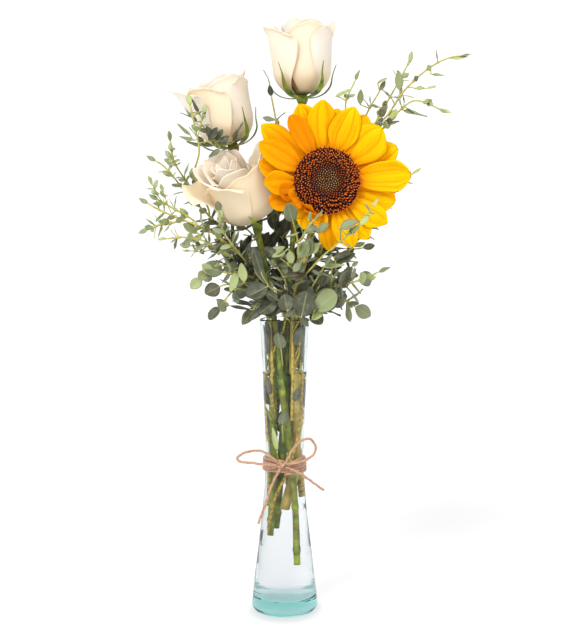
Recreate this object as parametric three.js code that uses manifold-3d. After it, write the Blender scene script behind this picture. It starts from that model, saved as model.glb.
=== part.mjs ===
// A clear hourglass bud vase of water, tied with jute twine. It holds one sunflower, three cream roses and
// seven eucalyptus branches. Millimetres, +Z up, origin at the centre of the vase's foot, -Y to the viewer.
import * as THREE from "three";
import { mergeVertices } from "three/addons/utils/BufferGeometryUtils.js";
import Module from "manifold-3d";

const wasm = await Module();
wasm.setup();

// Driving dimensions

const GAP = 0.3;
const VASE = {
  height: 230,
  wall: 2,
  floor: 11.5,
  floorRound: 1.5,
  lip: [18.7, 17.9],
  lipDrop: 0.7,
  sides: 24,
  outer: [
    [0, 23.6], [1.6, 25.3], [5, 26], [48, 21], [85, 17], [118, 14.5],
    [150, 15.5], [185, 17.2], [214, 18.2], [230, 19.5],
  ],
};
const INSIDE_HEIGHTS = [18, 48, 85, 118, 150, 185, 214];
const WATER_TOP = 188;
const WATER_GAP = 0.4;

const STEM_SIDES = 5;
const STEMS = {
  rose_top: {
    radius: 2.1,
    path: [[-5, 5, 64], [-1.5, 7.5, 118], [3, 9, 229], [5, 11, 270], [9, 13, 330], [13, 14, 380],
      [13.5, 14, 399.5]],
  },
  rose_back: {
    radius: 2.1,
    path: [[-9, -3, 60], [-6.5, 2.5, 118], [-8, 7, 229], [-14, 11, 265], [-26, 22, 310], [-37, 22, 347],
      [-40, 20, 362.5]],
  },
  rose_open: {
    radius: 2.2,
    path: [[7.8, -4, 37], [6.9, -4.2, 80], [4.5, -5, 118], [-8, -3, 229], [-12, -2, 255],
      [-16, 1, 277], [-20, 3.2, 294], [-22, 2.2, 303.5]],
  },
  sunflower: {
    radius: 2.8,
    path: [[0, 1, 80], [6.5, 2.5, 118], [7, 4, 229], [12, 7, 262], [22, 9, 300], [29, 4, 322],
      [31, -6, 332.5], [31.5, -12, 334]],
  },
};

// Each petal row: direction in degrees, body radius, top as a share of the height, how far it opens, how far
// its rim curls out, how far its side edges roll out, and its half-angle round the bloom.
const ROSES = {
  top: {
    stem: "rose_top",
    base: [13.5, 14, 402.5],
    axis: [-0.05, -0.03, 1],
    height: 57,
    core: 9.5,
    petals: [
      [20, 11.5, 0.99, 0, 0, 0.5, 80], [140, 11.5, 0.94, 0, 0, 0.5, 80], [260, 11.5, 0.97, 0, 0, 0.5, 80],
      [55, 17, 0.96, 1, 1, 1, 74], [175, 17, 0.93, 0.5, 1, 1, 74], [300, 17, 0.95, 1, 2, 1.5, 74],
      [85, 21.8, 0.9, 2, 2, 2, 62], [192, 22, 0.9, 3, 3.5, 2.5, 60], [265, 22.6, 0.84, 0.5, 1.5, 1, 60],
      [352, 22.2, 0.92, 3.5, 4, 2.5, 60],
    ],
    clear: [[0, 8], [12, 23], [22, 26], [34, 27], [46, 28], [56, 27]],
    sepals: 22,
  },
  back: {
    stem: "rose_back",
    base: [-41, 20, 365.5],
    axis: [-0.3, -0.05, 0.95],
    height: 52.5,
    core: 9.5,
    petals: [
      [0, 11.5, 0.97, 0, 0, 0.5, 80], [120, 11.5, 0.95, 0, 0, 0.5, 80], [240, 11.5, 0.93, 0, 0, 0.5, 80],
      [40, 17, 0.98, 1, 1, 1, 74], [160, 17, 0.95, 1, 1.5, 1, 74], [285, 17, 0.97, 0.5, 2, 1.5, 74],
      [95, 22, 0.9, 2, 2, 2, 62], [196, 22.5, 0.74, 9, 6, 1, 60], [272, 23.4, 0.86, 0.5, 1.5, 1, 62],
      [0, 22.4, 0.97, 0, 2.5, 1.5, 60],
    ],
    clear: [[0, 8], [12, 23], [22, 26], [32, 29], [42, 28], [52, 25]],
    sepals: 22,
  },
  open: {
    stem: "rose_open",
    base: [-22.6, 1.2, 306.5],
    axis: [-0.4, -0.3, 0.87],
    height: 54,
    core: 9,
    petals: [
      [30, 11, 0.9, 0, 0.5, 0.5, 80], [150, 11, 0.84, 0, 0.5, 0.5, 80], [270, 11, 0.87, 0, 0.5, 0.5, 80],
      [65, 16.5, 0.94, 0, 2, 1, 70], [185, 17, 0.88, 1, 2.5, 1.5, 70], [295, 17, 0.88, 0.5, 2.5, 1.5, 70],
      [105, 23, 0.84, 1, 3, 2, 56], [172, 23.5, 0.84, 9, 6, 3, 52], [243, 24.5, 0.72, 1, 2.5, 1.5, 56],
      [312, 25, 0.78, 0, 1, 0.5, 60], [22, 23.5, 0.93, 0, 1.5, 1.5, 52],
    ],
    clear: [[0, 8], [12, 24], [22, 29], [32, 32], [42, 32], [50, 28]],
    sepals: 58,
  },
};
const PETAL_THICK = 0.9;
const ROSE_FOOT = 0.7;
const SEPALS = { count: 5, width: 7, thick: 0.9 };
const HIP = [[0, -9], [2.2, -9], [4.4, -5.5], [4.4, -2.4], [3.4, 0.4], [0, 0.4]];

const SUNFLOWER = {
  centre: [31.6, -28, 334.4],
  facing: [0.06, -0.99, 0.08],
  discRadius: 24.5,
  discRise: 6,
  discDip: 1.6,
  discEdge: 1,
  discRings: 6,
  discSectors: 36,
  floret: 1.3,
  ringInner: 15,
  ringOuter: 22.5,
  ringThick: 4,
  ringTop: -0.3,
  backDepth: 8,
  neckDepth: 5,
  // One row for each ray petal: direction in degrees, length, width, forward lean, twist and layer,
  // which is 1 in front.
  rays: [
    [8, 61, 24, 9, 5, 1], [28, 58, 22, 5, -5, 0], [47, 55, 30, 13, 0, 1], [60, 57, 20, 5, 5, 0],
    [75, 57, 23, 10, -5, 1], [87, 54, 20, 4, 0, 0], [98, 58, 24, 11, 5, 1], [112, 60, 21, 6, -5, 0],
    [127, 48, 15, 15, 8, 1], [142, 63, 19, 6, 5, 0], [156, 57, 20, 11, -8, 1], [171, 52, 20, 6, -5, 0],
    [188, 47, 18, 12, 6, 1], [208, 46, 18, 7, 0, 0], [227, 37, 17, 14, -6, 1], [245, 40, 16, 6, 5, 0],
    [260, 36, 15, 13, 0, 1], [275, 52, 16, 5, 5, 0], [291, 53, 17, 10, -5, 1], [308, 53, 17, 5, 5, 0],
    [325, 54, 19, 10, -5, 1], [345, 53, 21, 5, 5, 0],
  ],
  bracts: 9,
  bractLength: 26,
  bractRows: [[0, 12], [0.4, 9.5], [0.75, 5], [1, 0.9]],
};

const TWINE = {
  radius: 1.1,
  sides: 8,
  turns: 5,
  pitch: 2.5,
  z: 116.5,
  knot: [-2, -17.6, 119.5],
  knotSize: [3.6, 2.6, 3],
  loopLeft: [[-5.4, -18.5, 121.4], [-17, -18.5, 129.6], [-27, -18, 129.4], [-34, -17, 126.4],
    [-36.4, -16.5, 123.2], [-33, -16.4, 120.9], [-25, -17.2, 120.4], [-17, -18.2, 119.4],
    [-5.9, -18.9, 118.9]],
  loopRight: [[1.3, -18.9, 121.6], [6.5, -20, 131.5], [12.6, -20.4, 138], [18.6, -19.6, 139.6],
    [23.2, -18.6, 135.2], [23.4, -17.8, 128.8], [18.6, -17.8, 124], [12, -18.4, 121.4], [2, -19, 119.4]],
  tailLeft: [[-3.2, -19.2, 116.5], [-7.3, -19.6, 109], [-11.1, -20.4, 99.9], [-14.1, -21.2, 90],
    [-18, -22, 80.1], [-20.3, -22.5, 74]],
  tailRight: [[1.5, -19.1, 117.2], [10.4, -19.4, 113.6], [16.5, -18.6, 109.3], [23.4, -17.6, 104],
    [30.4, -16.6, 98.6]],
};

// Each branch has its stem from the cut end in the vase to the tip, with leaf pairs on it, and side
// twigs that leave it at a share of its length. Sizes are a leaf's length at the twig's start and tip,
// rounds its width over its length. A leaf listed by itself has a stalk of its own: from a share of the
// stem, root, tip, width.
const BRANCHES = [
  {
    name: "eucalyptus_left",
    seed: 21,
    radius: 1.25,
    path: [[-8.3, -7.6, 162], [-9.5, -8, 200], [-11.5, -6, 229], [-17, -9, 250], [-24, -13, 267],
      [-39, -18, 284], [-55, -22, 297], [-76, -24, 306], [-94, -21, 313.5], [-102, -19, 318]],
    pairs: 12,
    sizes: [17, 8.5],
    rounds: [0.85, 0.42],
    leaves: [
      [0.5, [-46, -23, 267], [-60.7, -26, 271.5], 14],
      [0.47, [-48.2, -24, 256], [-59.3, -27, 251], 12.5],
      [0.77, [-64.8, -22, 296], [-75.6, -26, 303], 8],
      [0.37, [-22, -14, 240], [-31.9, -22, 227], 9],
    ],
    twigs: [
      {
        from: 0.86, to: [[-93, -26, 302], [-101, -26, 299]],
        pairs: 3, sizes: [9, 8.5], rounds: [0.6, 0.45],
      },
      {
        from: 0.8, to: [[-86, -19, 316], [-95, -16, 321]],
        pairs: 3, sizes: [11, 8.5], rounds: [0.5, 0.45],
      },
      {
        from: 0.6, to: [[-62, -27, 291], [-76, -30, 293], [-86, -30, 292]],
        pairs: 4, sizes: [13, 8.5], rounds: [0.62, 0.5],
      },
      { from: 0.5, to: [[-50, -22, 272], [-62, -24, 262]], pairs: 3, sizes: [13, 11], rounds: [0.9, 0.8] },
      {
        from: 0.42, to: [[-36, -20, 254], [-49, -21, 240]],
        pairs: 3, sizes: [14, 12], rounds: [0.95, 0.9],
      },
      { from: 0.55, to: [[-45, -36, 298], [-47, -46, 312]], pairs: 2, sizes: [9.5, 9], rounds: [0.7, 0.6] },
    ],
  },
  {
    name: "eucalyptus_upper_left",
    seed: 34,
    radius: 1.2,
    path: [[-11.5, -5, 84], [-10.3, -2.1, 118], [-12, 2, 170], [-13, 3.5, 229], [-21, 12, 258],
      [-38, 20, 286], [-60, 20, 310], [-74, 12, 324], [-87, 2, 341], [-93, 0, 347.5], [-98, -1, 350.5]],
    pairs: 12,
    sizes: [15, 8.5],
    rounds: [0.75, 0.42],
    leaves: [
      [0.56, [-23, 0, 264], [-29, -6, 286], 8.5],
    ],
    twigs: [
      {
        from: 0.8, to: [[-69, 5, 340], [-64, -13, 358], [-67, -17, 376], [-70, -17, 391]],
        pairs: 5, sizes: [10, 9], rounds: [0.75, 0.5],
      },
      { from: 0.84, to: [[-84, -2, 350], [-86, -8, 365]], pairs: 2, sizes: [9, 8.5], rounds: [0.5, 0.45] },
      { from: 0.6, to: [[-56, 18, 284], [-74, 20, 286]], pairs: 3, sizes: [13, 9], rounds: [0.8, 0.6] },
      { from: 0.55, to: [[-42, 28, 273], [-54, 33, 267]], pairs: 2, sizes: [14, 11], rounds: [0.85, 0.8] },
    ],
  },
  {
    name: "eucalyptus_right",
    seed: 55,
    radius: 1.25,
    path: [[8, 8.5, 88], [6, 8.7, 118], [7.5, 9.6, 170], [11, 9.5, 229], [20, 17, 262], [32, 20, 290],
      [50, 22, 335], [68, 20, 376], [79, 18, 386], [93, 16, 406], [108, 14, 420], [118, 12, 426.5],
      [127, 10, 430], [134, 9, 431]],
    pairs: 12,
    sizes: [14, 9],
    rounds: [0.7, 0.4],
    twigs: [
      { from: 0.76, to: [[87, 22, 410], [95, 17, 425]], pairs: 2, sizes: [13, 8], rounds: [0.45, 0.42] },
      {
        from: 0.74, to: [[98, 12, 397], [108, 9, 396], [118, 7, 391]],
        pairs: 3, sizes: [13, 8], rounds: [0.4, 0.4],
      },
      {
        from: 0.52, to: [[59, 26, 372], [64, 24, 388], [74, 20, 406]],
        pairs: 4, sizes: [9.5, 9], rounds: [0.5, 0.42],
      },
      {
        from: 0.5, to: [[50, 12, 372], [47, 8, 395], [54, 4, 412]],
        pairs: 4, sizes: [9, 8.5], rounds: [0.6, 0.5],
      },
      { from: 0.36, to: [[46, 24, 280], [62, 26, 284]], pairs: 3, sizes: [14, 10], rounds: [0.8, 0.6] },
    ],
  },
  {
    name: "eucalyptus_low_right",
    seed: 13,
    radius: 1.2,
    path: [[-11.5, -8, 66], [-7, -9.4, 90], [4.5, -9, 118], [10.3, -4.3, 152], [12.6, -3, 200], [13, -3, 229],
      [18, -7, 243], [28, -15, 252], [42, -24, 257], [56, -27, 261], [70, -28, 267]],
    pairs: 9,
    sizes: [20, 10],
    rounds: [0.95, 0.45],
    leaves: [
      [0.74, [24.6, -20, 241.2], [41.8, -24, 246.7], 17],
      [0.70, [20.2, -17, 236.4], [28.5, -21, 227.5], 11],
      [0.78, [26, -21, 256], [33, -27, 268], 9],
      [0.84, [38.4, -30, 272.9], [52.5, -34, 281.1], 8],
    ],
    twigs: [
      {
        from: 0.72, to: [[44, -8, 276], [64, 0, 300], [86, 4, 333], [98, 3, 341]],
        pairs: 8, sizes: [14, 8], rounds: [0.5, 0.42],
      },
      { from: 0.75, to: [[44, -16, 246], [54, -14, 240]], pairs: 2, sizes: [17, 14], rounds: [0.9, 0.8] },
    ],
  },
  {
    name: "eucalyptus_front",
    seed: 89,
    radius: 1.2,
    path: [[5.2, -10.5, 152], [6, -11, 200], [6, -10.5, 229], [7.5, -18, 248], [10.5, -26, 270],
      [10.5, -36, 284], [9, -44, 295], [6.5, -49, 304]],
    pairs: 8,
    sizes: [19, 16],
    rounds: [0.9, 0.68],
    leaves: [
      [0.5, [-6, -19.5, 247.5], [-28.6, -26, 255], 14],
      [0.46, [-1, -21, 237.5], [2.8, -24, 253], 15],
      [0.52, [14, -21, 236], [18.4, -27, 257.7], 15],
      [0.6, [-12, -26, 257.4], [-22.7, -30, 273.4], 8],
      [0.72, [-2.4, -34, 277.2], [-14.8, -38, 285.9], 8],
      [0.78, [14, -36, 277.8], [20, -40, 292.8], 10],
    ],
    twigs: [
      { from: 0.9, to: [[16, -50, 299], [22, -56, 306]], pairs: 2, sizes: [11, 10], rounds: [0.6, 0.5] },
      {
        from: 0.68, to: [[28, -38, 279], [42, -46, 291], [54, -52, 302]],
        pairs: 3, sizes: [10, 10], rounds: [0.55, 0.5],
      },
      { from: 0.56, to: [[0, -26, 262], [-9, -32, 276]], pairs: 3, sizes: [14, 11], rounds: [0.7, 0.5] },
      { from: 0.5, to: [[22, -24, 258], [30, -34, 272]], pairs: 3, sizes: [14, 12], rounds: [0.75, 0.6] },
    ],
  },
  {
    name: "eucalyptus_back",
    seed: 144,
    radius: 1.25,
    path: [[-4.5, 10.5, 90], [-5.6, 8.8, 118], [-3, 11.6, 170], [0, 13.6, 229], [-3, 21, 258],
      [-5, 28, 300], [-4, 26, 345], [-6, 14, 378], [-10, 4, 400]],
    pairs: 7,
    sizes: [17, 9],
    rounds: [0.85, 0.5],
    twigs: [
      {
        from: 0.56, to: [[-16, 36, 284], [-34, 44, 302], [-54, 50, 322]],
        pairs: 5, sizes: [14, 8], rounds: [0.7, 0.5],
      },
      { from: 0.52, to: [[-14, 32, 260], [-28, 38, 258]], pairs: 3, sizes: [15, 12], rounds: [0.9, 0.8] },
      { from: 0.7, to: [[6, 40, 334], [14, 48, 356]], pairs: 4, sizes: [10, 9], rounds: [0.6, 0.5] },
    ],
  },
  {
    name: "eucalyptus_back_right",
    seed: 233,
    radius: 1.2,
    path: [[1.5, 11.2, 98], [2.2, 10.3, 118], [3.6, 12, 170], [6, 13.4, 229], [13, 24, 254], [26, 36, 280],
      [42, 44, 312], [56, 47, 344]],
    pairs: 8,
    sizes: [17, 9],
    rounds: [0.85, 0.5],
    twigs: [
      { from: 0.6, to: [[32, 28, 262], [48, 26, 262]], pairs: 3, sizes: [15, 11], rounds: [0.85, 0.7] },
      { from: 0.64, to: [[18, 42, 270], [22, 52, 286]], pairs: 3, sizes: [13, 10], rounds: [0.8, 0.6] },
      { from: 0.58, to: [[26, 30, 248], [36, 36, 244]], pairs: 2, sizes: [16, 14], rounds: [0.9, 0.85] },
    ],
  },
];
const HEAD_ROOM = { lean: 9, radius: 62, behind: 13, before: 8 };
const GLASS_ROOM = 0.4;
const LEAF_THICK = 0.7;
const SMALLEST_LEAF = 8;
const ROUND_LEAF = 7;
const LEAVES_FROM = 200;
const BRANCH_STEP = 20;
const STALK_STEP = 5;
const NODE_LENGTH = 1;
const NODE_ROOM = 4;
const ROOT_ROOM = 3.2;
const KNEE = 3;

// Vectors, curves and random draws

const vec = (a) => new THREE.Vector3(...a);
const degrees = THREE.MathUtils.degToRad;
const mix = (a, b, t) => a + (b - a) * t;
const smooth = (a, b, t) => {
  const s = Math.min(1, Math.max(0, (t - a) / (b - a)));
  return s * s * (3 - 2 * s);
};

// A repeatable source of numbers from 0 to 1.
function draws(seed) {
  let state = seed;
  return () => {
    state = (1664525 * state + 1013904223) % 4294967296;
    return state / 4294967296;
  };
}

// A line of short straight steps along a smooth curve through the points.
function lineThrough(points, perSpan = 12) {
  const curve = new THREE.CatmullRomCurve3(points);
  const steps = (points.length - 1) * perSpan;
  return Array.from({ length: steps + 1 }, (_, i) => curve.getPoint(i / steps));
}

function lengthsOf(line) {
  const sums = [0];
  for (let i = 1; i < line.length; i++) sums.push(sums[i - 1] + line[i].distanceTo(line[i - 1]));
  return sums;
}

// The point and direction at a share of the line's length.
function at(line, share) {
  const sums = lengthsOf(line);
  const want = share * sums[sums.length - 1];
  let i = 1;
  while (i < line.length - 1 && sums[i] < want) i++;
  const t = (want - sums[i - 1]) / (sums[i] - sums[i - 1]);
  return {
    point: line[i - 1].clone().lerp(line[i], t),
    along: line[i].clone().sub(line[i - 1]).normalize(),
  };
}

// The share of the line's length at which it first reaches height z.
function shareAtHeight(line, z) {
  const sums = lengthsOf(line);
  const i = line.findIndex((p) => p.z >= z);
  return sums[i] / sums[sums.length - 1];
}

function perpendicular(along) {
  const reference = Math.abs(along.z) > 0.9 ? new THREE.Vector3(0, -1, 0) : new THREE.Vector3(0, 0, 1);
  return new THREE.Vector3().crossVectors(along, reference).normalize();
}

// Vase radii

function outerRadius(z) {
  const above = VASE.outer.findIndex(([height]) => height >= z);
  if (above === 0) return VASE.outer[0][1];
  if (above < 0) return VASE.outer.at(-1)[1];
  const [[lowZ, lowR], [highZ, highR]] = VASE.outer.slice(above - 1, above + 1);
  return mix(lowR, highR, (z - lowZ) / (highZ - lowZ));
}

const innerRadius = (z) => outerRadius(z) - VASE.wall;

// Solids

function solid(geometry) {
  const bare = geometry.clone();
  bare.deleteAttribute("normal");
  bare.deleteAttribute("uv");
  const merged = mergeVertices(bare, 1e-4);
  return new wasm.Manifold(
    new wasm.Mesh({
      numProp: 3,
      vertProperties: merged.attributes.position.array,
      triVerts: new Uint32Array(merged.index.array),
    }),
  );
}

// Joins the solids, fills what the join sealed in, and keeps the largest body.
function fused(solids) {
  const joined = solids.reduce((all, next) => all.add(next));
  const bodies = joined.decompose().filter((body) => body.volume() > 0);
  return bodies.reduce((best, body) => (body.volume() > best.volume() ? body : best));
}

function geometryOf(manifold) {
  const mesh = manifold.getMesh();
  return new THREE.BufferGeometry()
    .setAttribute("position", new THREE.BufferAttribute(new Float32Array(mesh.vertProperties), 3))
    .setIndex(new THREE.BufferAttribute(new Uint32Array(mesh.triVerts), 1));
}

function meshFrom(points, index) {
  const flat = new Float32Array(points.flatMap((p) => [p.x, p.y, p.z]));
  return new THREE.BufferGeometry()
    .setAttribute("position", new THREE.BufferAttribute(flat, 3))
    .setIndex(index);
}

// A closed tube along a line, with a radius for each share of its length.
function tube(line, radiusAt, steps, sides) {
  const points = [];
  const index = [];
  let side = perpendicular(at(line, 0).along);
  for (let i = 0; i <= steps; i++) {
    const { point, along } = at(line, i / steps);
    side = side.sub(along.clone().multiplyScalar(side.dot(along))).normalize();
    const up = new THREE.Vector3().crossVectors(along, side);
    for (let k = 0; k < sides; k++) {
      const angle = (2 * Math.PI * k) / sides;
      const r = radiusAt(i / steps);
      points.push(
        point.clone().addScaledVector(side, r * Math.cos(angle)).addScaledVector(up, r * Math.sin(angle)),
      );
    }
    if (i === steps) break;
    for (let k = 0; k < sides; k++) {
      const [a, b] = [i * sides + k, i * sides + ((k + 1) % sides)];
      index.push(a, b, a + sides, b, b + sides, a + sides);
    }
  }
  for (let k = 1; k < sides - 1; k++) {
    index.push(0, k + 1, k);
    index.push(steps * sides, steps * sides + k, steps * sides + k + 1);
  }
  return meshFrom(points, index);
}

// A closed blade: a grid of points given its thickness along the grid's own normals.
function blade(grid, thick) {
  const rows = grid.length;
  const cols = grid[0].length;
  const front = [];
  const back = [];
  for (let i = 0; i < rows; i++)
    for (let j = 0; j < cols; j++) {
      const du = grid[i][Math.min(j + 1, cols - 1)].clone().sub(grid[i][Math.max(j - 1, 0)]);
      const dv = grid[Math.min(i + 1, rows - 1)][j].clone().sub(grid[Math.max(i - 1, 0)][j]);
      const normal = du.cross(dv).normalize().multiplyScalar(thick / 2);
      front.push(grid[i][j].clone().add(normal));
      back.push(grid[i][j].clone().sub(normal));
    }
  const n = rows * cols;
  const index = [];
  for (let i = 0; i < rows - 1; i++)
    for (let j = 0; j < cols - 1; j++) {
      const a = i * cols + j;
      const [b, c, d] = [a + 1, a + cols, a + cols + 1];
      index.push(a, b, c, b, d, c);
      index.push(n + a, n + c, n + b, n + b, n + c, n + d);
    }
  const wall = (a, b) => index.push(a, n + a, b, b, n + a, n + b);
  for (let j = 0; j < cols - 1; j++) {
    wall(j, j + 1);
    wall((rows - 1) * cols + j + 1, (rows - 1) * cols + j);
  }
  for (let i = 0; i < rows - 1; i++) {
    wall((i + 1) * cols, i * cols);
    wall(i * cols + cols - 1, (i + 1) * cols + cols - 1);
  }
  return meshFrom([...front, ...back], index);
}

// The places round a blade's edge, as distance along it and side: up one side, to the tip and back down.
const outline = (rows) => [...rows.map((s) => [s, -1]), [1, 0], ...rows.toReversed().map((s) => [s, 1])];

// A mesh that is grown face by face. Corners of a quad go round it as seen from outside. A blade grows from a
// quad: its lower face from the first two corners, its upper face from the other two.
function growingMesh() {
  const points = [];
  const index = [];
  const point = (p) => points.push(p) - 1;
  const face = (a, b, c) => index.push(a, b, c);
  function blade([a, b, c, d], lowEdge, highEdge) {
    const low = [a, ...lowEdge.map(point), b];
    const high = [d, ...highEdge.map(point), c];
    const last = low.length - 1;
    for (let i = 0; i < last / 2; i++) {
      const j = last - i;
      face(low[i], low[j], low[j - 1]);
      face(high[i], high[j - 1], high[j]);
      if (i + 1 >= j - 1) continue;
      face(low[i], low[j - 1], low[i + 1]);
      face(high[i], high[i + 1], high[j - 1]);
    }
    for (let i = 0; i < last; i++) {
      face(low[i], low[i + 1], high[i]);
      face(low[i + 1], high[i + 1], high[i]);
    }
  }
  return {
    point,
    at: (i) => points[i].clone(),
    quad: (a, b, c, d) => index.push(a, b, d, b, c, d),
    blade,
    geometry: () => meshFrom(points, index),
  };
}

function lathe(profile, sides) {
  const points = profile.map(([r, z]) => new THREE.Vector2(r, z));
  return new THREE.LatheGeometry(points, sides).rotateX(Math.PI / 2);
}

// A frame at base with +Z along axis.
function placement(base, axis) {
  const turned = new THREE.Quaternion().setFromUnitVectors(new THREE.Vector3(0, 0, 1), vec(axis).normalize());
  return new THREE.Matrix4().compose(vec(base), turned, new THREE.Vector3(1, 1, 1));
}

// A point at a distance from the frame's axis in a direction in radians, across to its side, and up.
const polar = (phase, distance, across, up) =>
  new THREE.Vector3(
    distance * Math.cos(phase) - across * Math.sin(phase),
    distance * Math.sin(phase) + across * Math.cos(phase),
    up,
  );

// Vase and water

// The inside from the middle of the floor up to a height, held off the glass by a gap.
function insideRows(top, gap) {
  const { floor, floorRound } = VASE;
  const heights = INSIDE_HEIGHTS.filter((z) => z < top).concat(top);
  const corner = innerRadius(floor) - floorRound;
  return [
    [0, floor + gap],
    [corner - 2 * floorRound - gap, floor + gap],
    [corner - gap, floor + floorRound + gap],
    ...heights.map((z) => [innerRadius(z) - gap, z]),
  ];
}

function vaseSolid() {
  const { height, lip, lipDrop, outer, sides } = VASE;
  const outside = outer.slice(0, -1).map(([z, r]) => [r, z]);
  const rim = [[outerRadius(height), height - lipDrop], [lip[0], height], [lip[1], height - lipDrop]];
  const inside = insideRows(INSIDE_HEIGHTS.at(-1), 0).toReversed();
  return solid(lathe([[0, 0], ...outside, ...rim, ...inside], sides));
}

function waterSolid(stemHoles) {
  const profile = [...insideRows(WATER_TOP, WATER_GAP), [0, WATER_TOP]];
  return stemHoles.reduce((water, hole) => water.subtract(hole), solid(lathe(profile, VASE.sides)));
}

// Flower stems

function stemLine(name) {
  return lineThrough(STEMS[name].path.map(vec));
}

function stemSolid(name, extra = 0) {
  const steps = 2 * STEMS[name].path.length - 3;
  return solid(tube(stemLine(name), () => STEMS[name].radius + extra, steps, STEM_SIDES));
}

// Roses

// A point of a petal in the rose's own frame: u runs across it from -1 to 1 and v from its root to its tip.
function petalPoint(rose, [direction, body, top, open, curl, roll, span], u, v) {
  const height = rose.height * top;
  const edge = Math.abs(u);
  const bulge = Math.sin((Math.PI / 2) * Math.min(1, v / 0.34)) ** 0.75;
  const free = mix(0.3, 1, smooth(-1, -0.1, u));
  let r = mix(1 + 0.3 * body, body, bulge) + 1.3 * u;
  r += free * (open * smooth(0.5, 1, v) + curl * smooth(0.78, 1, v) ** 2);
  r += roll * Math.max(0, u) ** 3 * smooth(0.5, 1, v);
  let z = height * v * (1 - 0.16 * edge ** 2.2 * v * v);
  z += 0.05 * height * (1 - edge) ** 2 * v ** 6 - 0.5 * curl * smooth(0.85, 1, v) ** 2;
  const reach = 0.4 + 0.6 * Math.sin(Math.PI * Math.min(0.5, 0.68 * v)) - 0.16 * smooth(0.8, 1, v);
  const angle = degrees(direction + u * span * reach);
  return new THREE.Vector3(r * Math.cos(angle), r * Math.sin(angle), z);
}

// The innermost petals only show above the core, so they start inside its shoulder.
function petalGrid(rose, petal) {
  const rows = petal[1] < rose.core + 4 ? [0.5, 0.78, 1] : [0, 0.2, 0.7, 1];
  return rows.map((v) => [-1, -0.4, 0.4, 1].map((u) => petalPoint(rose, petal, u, v)));
}

function roseSolid(rose) {
  const { height, core } = rose;
  const rows = [[-1, 0.22], [-3, 0.56], [3, 0.74]];
  const profile = [
    [0, ROSE_FOOT],
    [core - 1, ROSE_FOOT],
    ...rows.map(([inward, share]) => [core - inward, share * height]),
    [0, 0.77 * height],
  ];
  const petals = rose.petals.map((petal) => solid(blade(petalGrid(rose, petal), PETAL_THICK)));
  return fused([solid(lathe(profile, 8)), ...petals]).transform(placement(rose.base, rose.axis).elements);
}

// A sepal leaves the hip level, follows the outer petals and bends away at its tip. Rows are its radius,
// height and share of the width.
function sepalGrid(rose, turn) {
  const widest = Math.max(...rose.petals.map((petal) => petal[1]));
  const rows = [[3, -3, 0.8], [0.55 * widest + 1, -1.6, 1], [widest + 2.2, 10, 0.7], [widest + 8, 25, 0.12]];
  return rows.map(([r, z, share]) =>
    [-0.5, 0.5].map((u) => polar(degrees(turn), r, u * share * SEPALS.width, z)),
  );
}

function roseStemSolid(rose) {
  const hip = lathe(HIP, 6);
  const place = placement(rose.base, rose.axis);
  const turns = Array.from({ length: SEPALS.count }, (_, k) => rose.sepals + (360 * k) / SEPALS.count);
  const sepals = turns.map((turn) => solid(blade(sepalGrid(rose, turn), SEPALS.thick)));
  const head = [solid(hip), ...sepals].map((part) => part.transform(place.elements));
  return fused([stemSolid(rose.stem), ...head]);
}

// Sunflower

const sunPlace = () => placement(SUNFLOWER.centre, SUNFLOWER.facing);

// How far the ray petals stand forward of the head's plane at a distance from its centre.
function rayHeight(distance, lean, layer) {
  const s = Math.max(0, (distance - SUNFLOWER.ringOuter) / 36);
  return SUNFLOWER.ringTop - SUNFLOWER.ringThick * (0.75 - 0.5 * layer) + lean * s ** 1.4;
}

// The angle from a ray petal to the nearer of its neighbours in the same layer. The layers alternate.
function rayRoom(i) {
  const { rays } = SUNFLOWER;
  const direction = (k) => rays.at(k % rays.length)[0];
  const after = (direction(i + 2) - direction(i) + 360) % 360;
  const before = (direction(i) - direction(i - 2) + 360) % 360;
  return degrees(Math.min(after, before));
}

// A point of a ray petal: s runs from its root to its tip, u across it, and side is -1 on its back,
// 1 in front.
function rayPoint([direction, length, width, lean, twist, layer], room, s, u, side) {
  const distance = mix(SUNFLOWER.ringOuter, length, s);
  const taper = Math.sqrt(1 - smooth(0.55, 1.02, s));
  const full = (width / 2) * (0.4 + 0.6 * smooth(0, 0.4, s)) * taper;
  const half = Math.min(full, 0.94 * distance * Math.tan(room / 2));
  const tilt = degrees(twist) * s;
  const thick = (side * PETAL_THICK) / 2;
  const across = u * half * Math.cos(tilt) - thick * Math.sin(tilt);
  const forward = rayHeight(distance, lean, layer) + u * half * Math.sin(tilt) + thick * Math.cos(tilt);
  return polar(degrees(direction), distance, across, forward);
}

// The rays grow from a ring with one sector for each of them. Its outer wall has a back and a front
// row of faces.
function sunPetalGeometry() {
  const { ringInner, ringOuter, ringThick, ringTop, rays } = SUNFLOWER;
  const mesh = growingMesh();
  const low = ringTop - ringThick;
  const section = [[ringInner, low], [ringOuter, low], [ringOuter, (low + ringTop) / 2], [ringOuter, ringTop],
    [ringInner, ringTop]];
  const spokes = rays.map((ray, i) => {
    const before = rays.at(i - 1)[0] - (i ? 0 : 360);
    const angle = degrees((before + ray[0]) / 2);
    return section.map(([r, z]) => mesh.point(polar(angle, r, 0, z)));
  });
  rays.forEach((ray, i) => {
    const here = spokes[i];
    const next = spokes[(i + 1) % rays.length];
    const edge = (side) => outline([0.28, 0.6, 0.86]).map(([s, u]) => rayPoint(ray, rayRoom(i), s, u, side));
    for (let k = 0; k < section.length; k++) {
      const m = (k + 1) % section.length;
      const quad = [here[k], next[k], next[m], here[m]];
      if (k === 1 + ray[5]) mesh.blade(quad, edge(-1), edge(1));
      else mesh.quad(...quad);
    }
  });
  return mesh.geometry().applyMatrix4(sunPlace());
}

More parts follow.
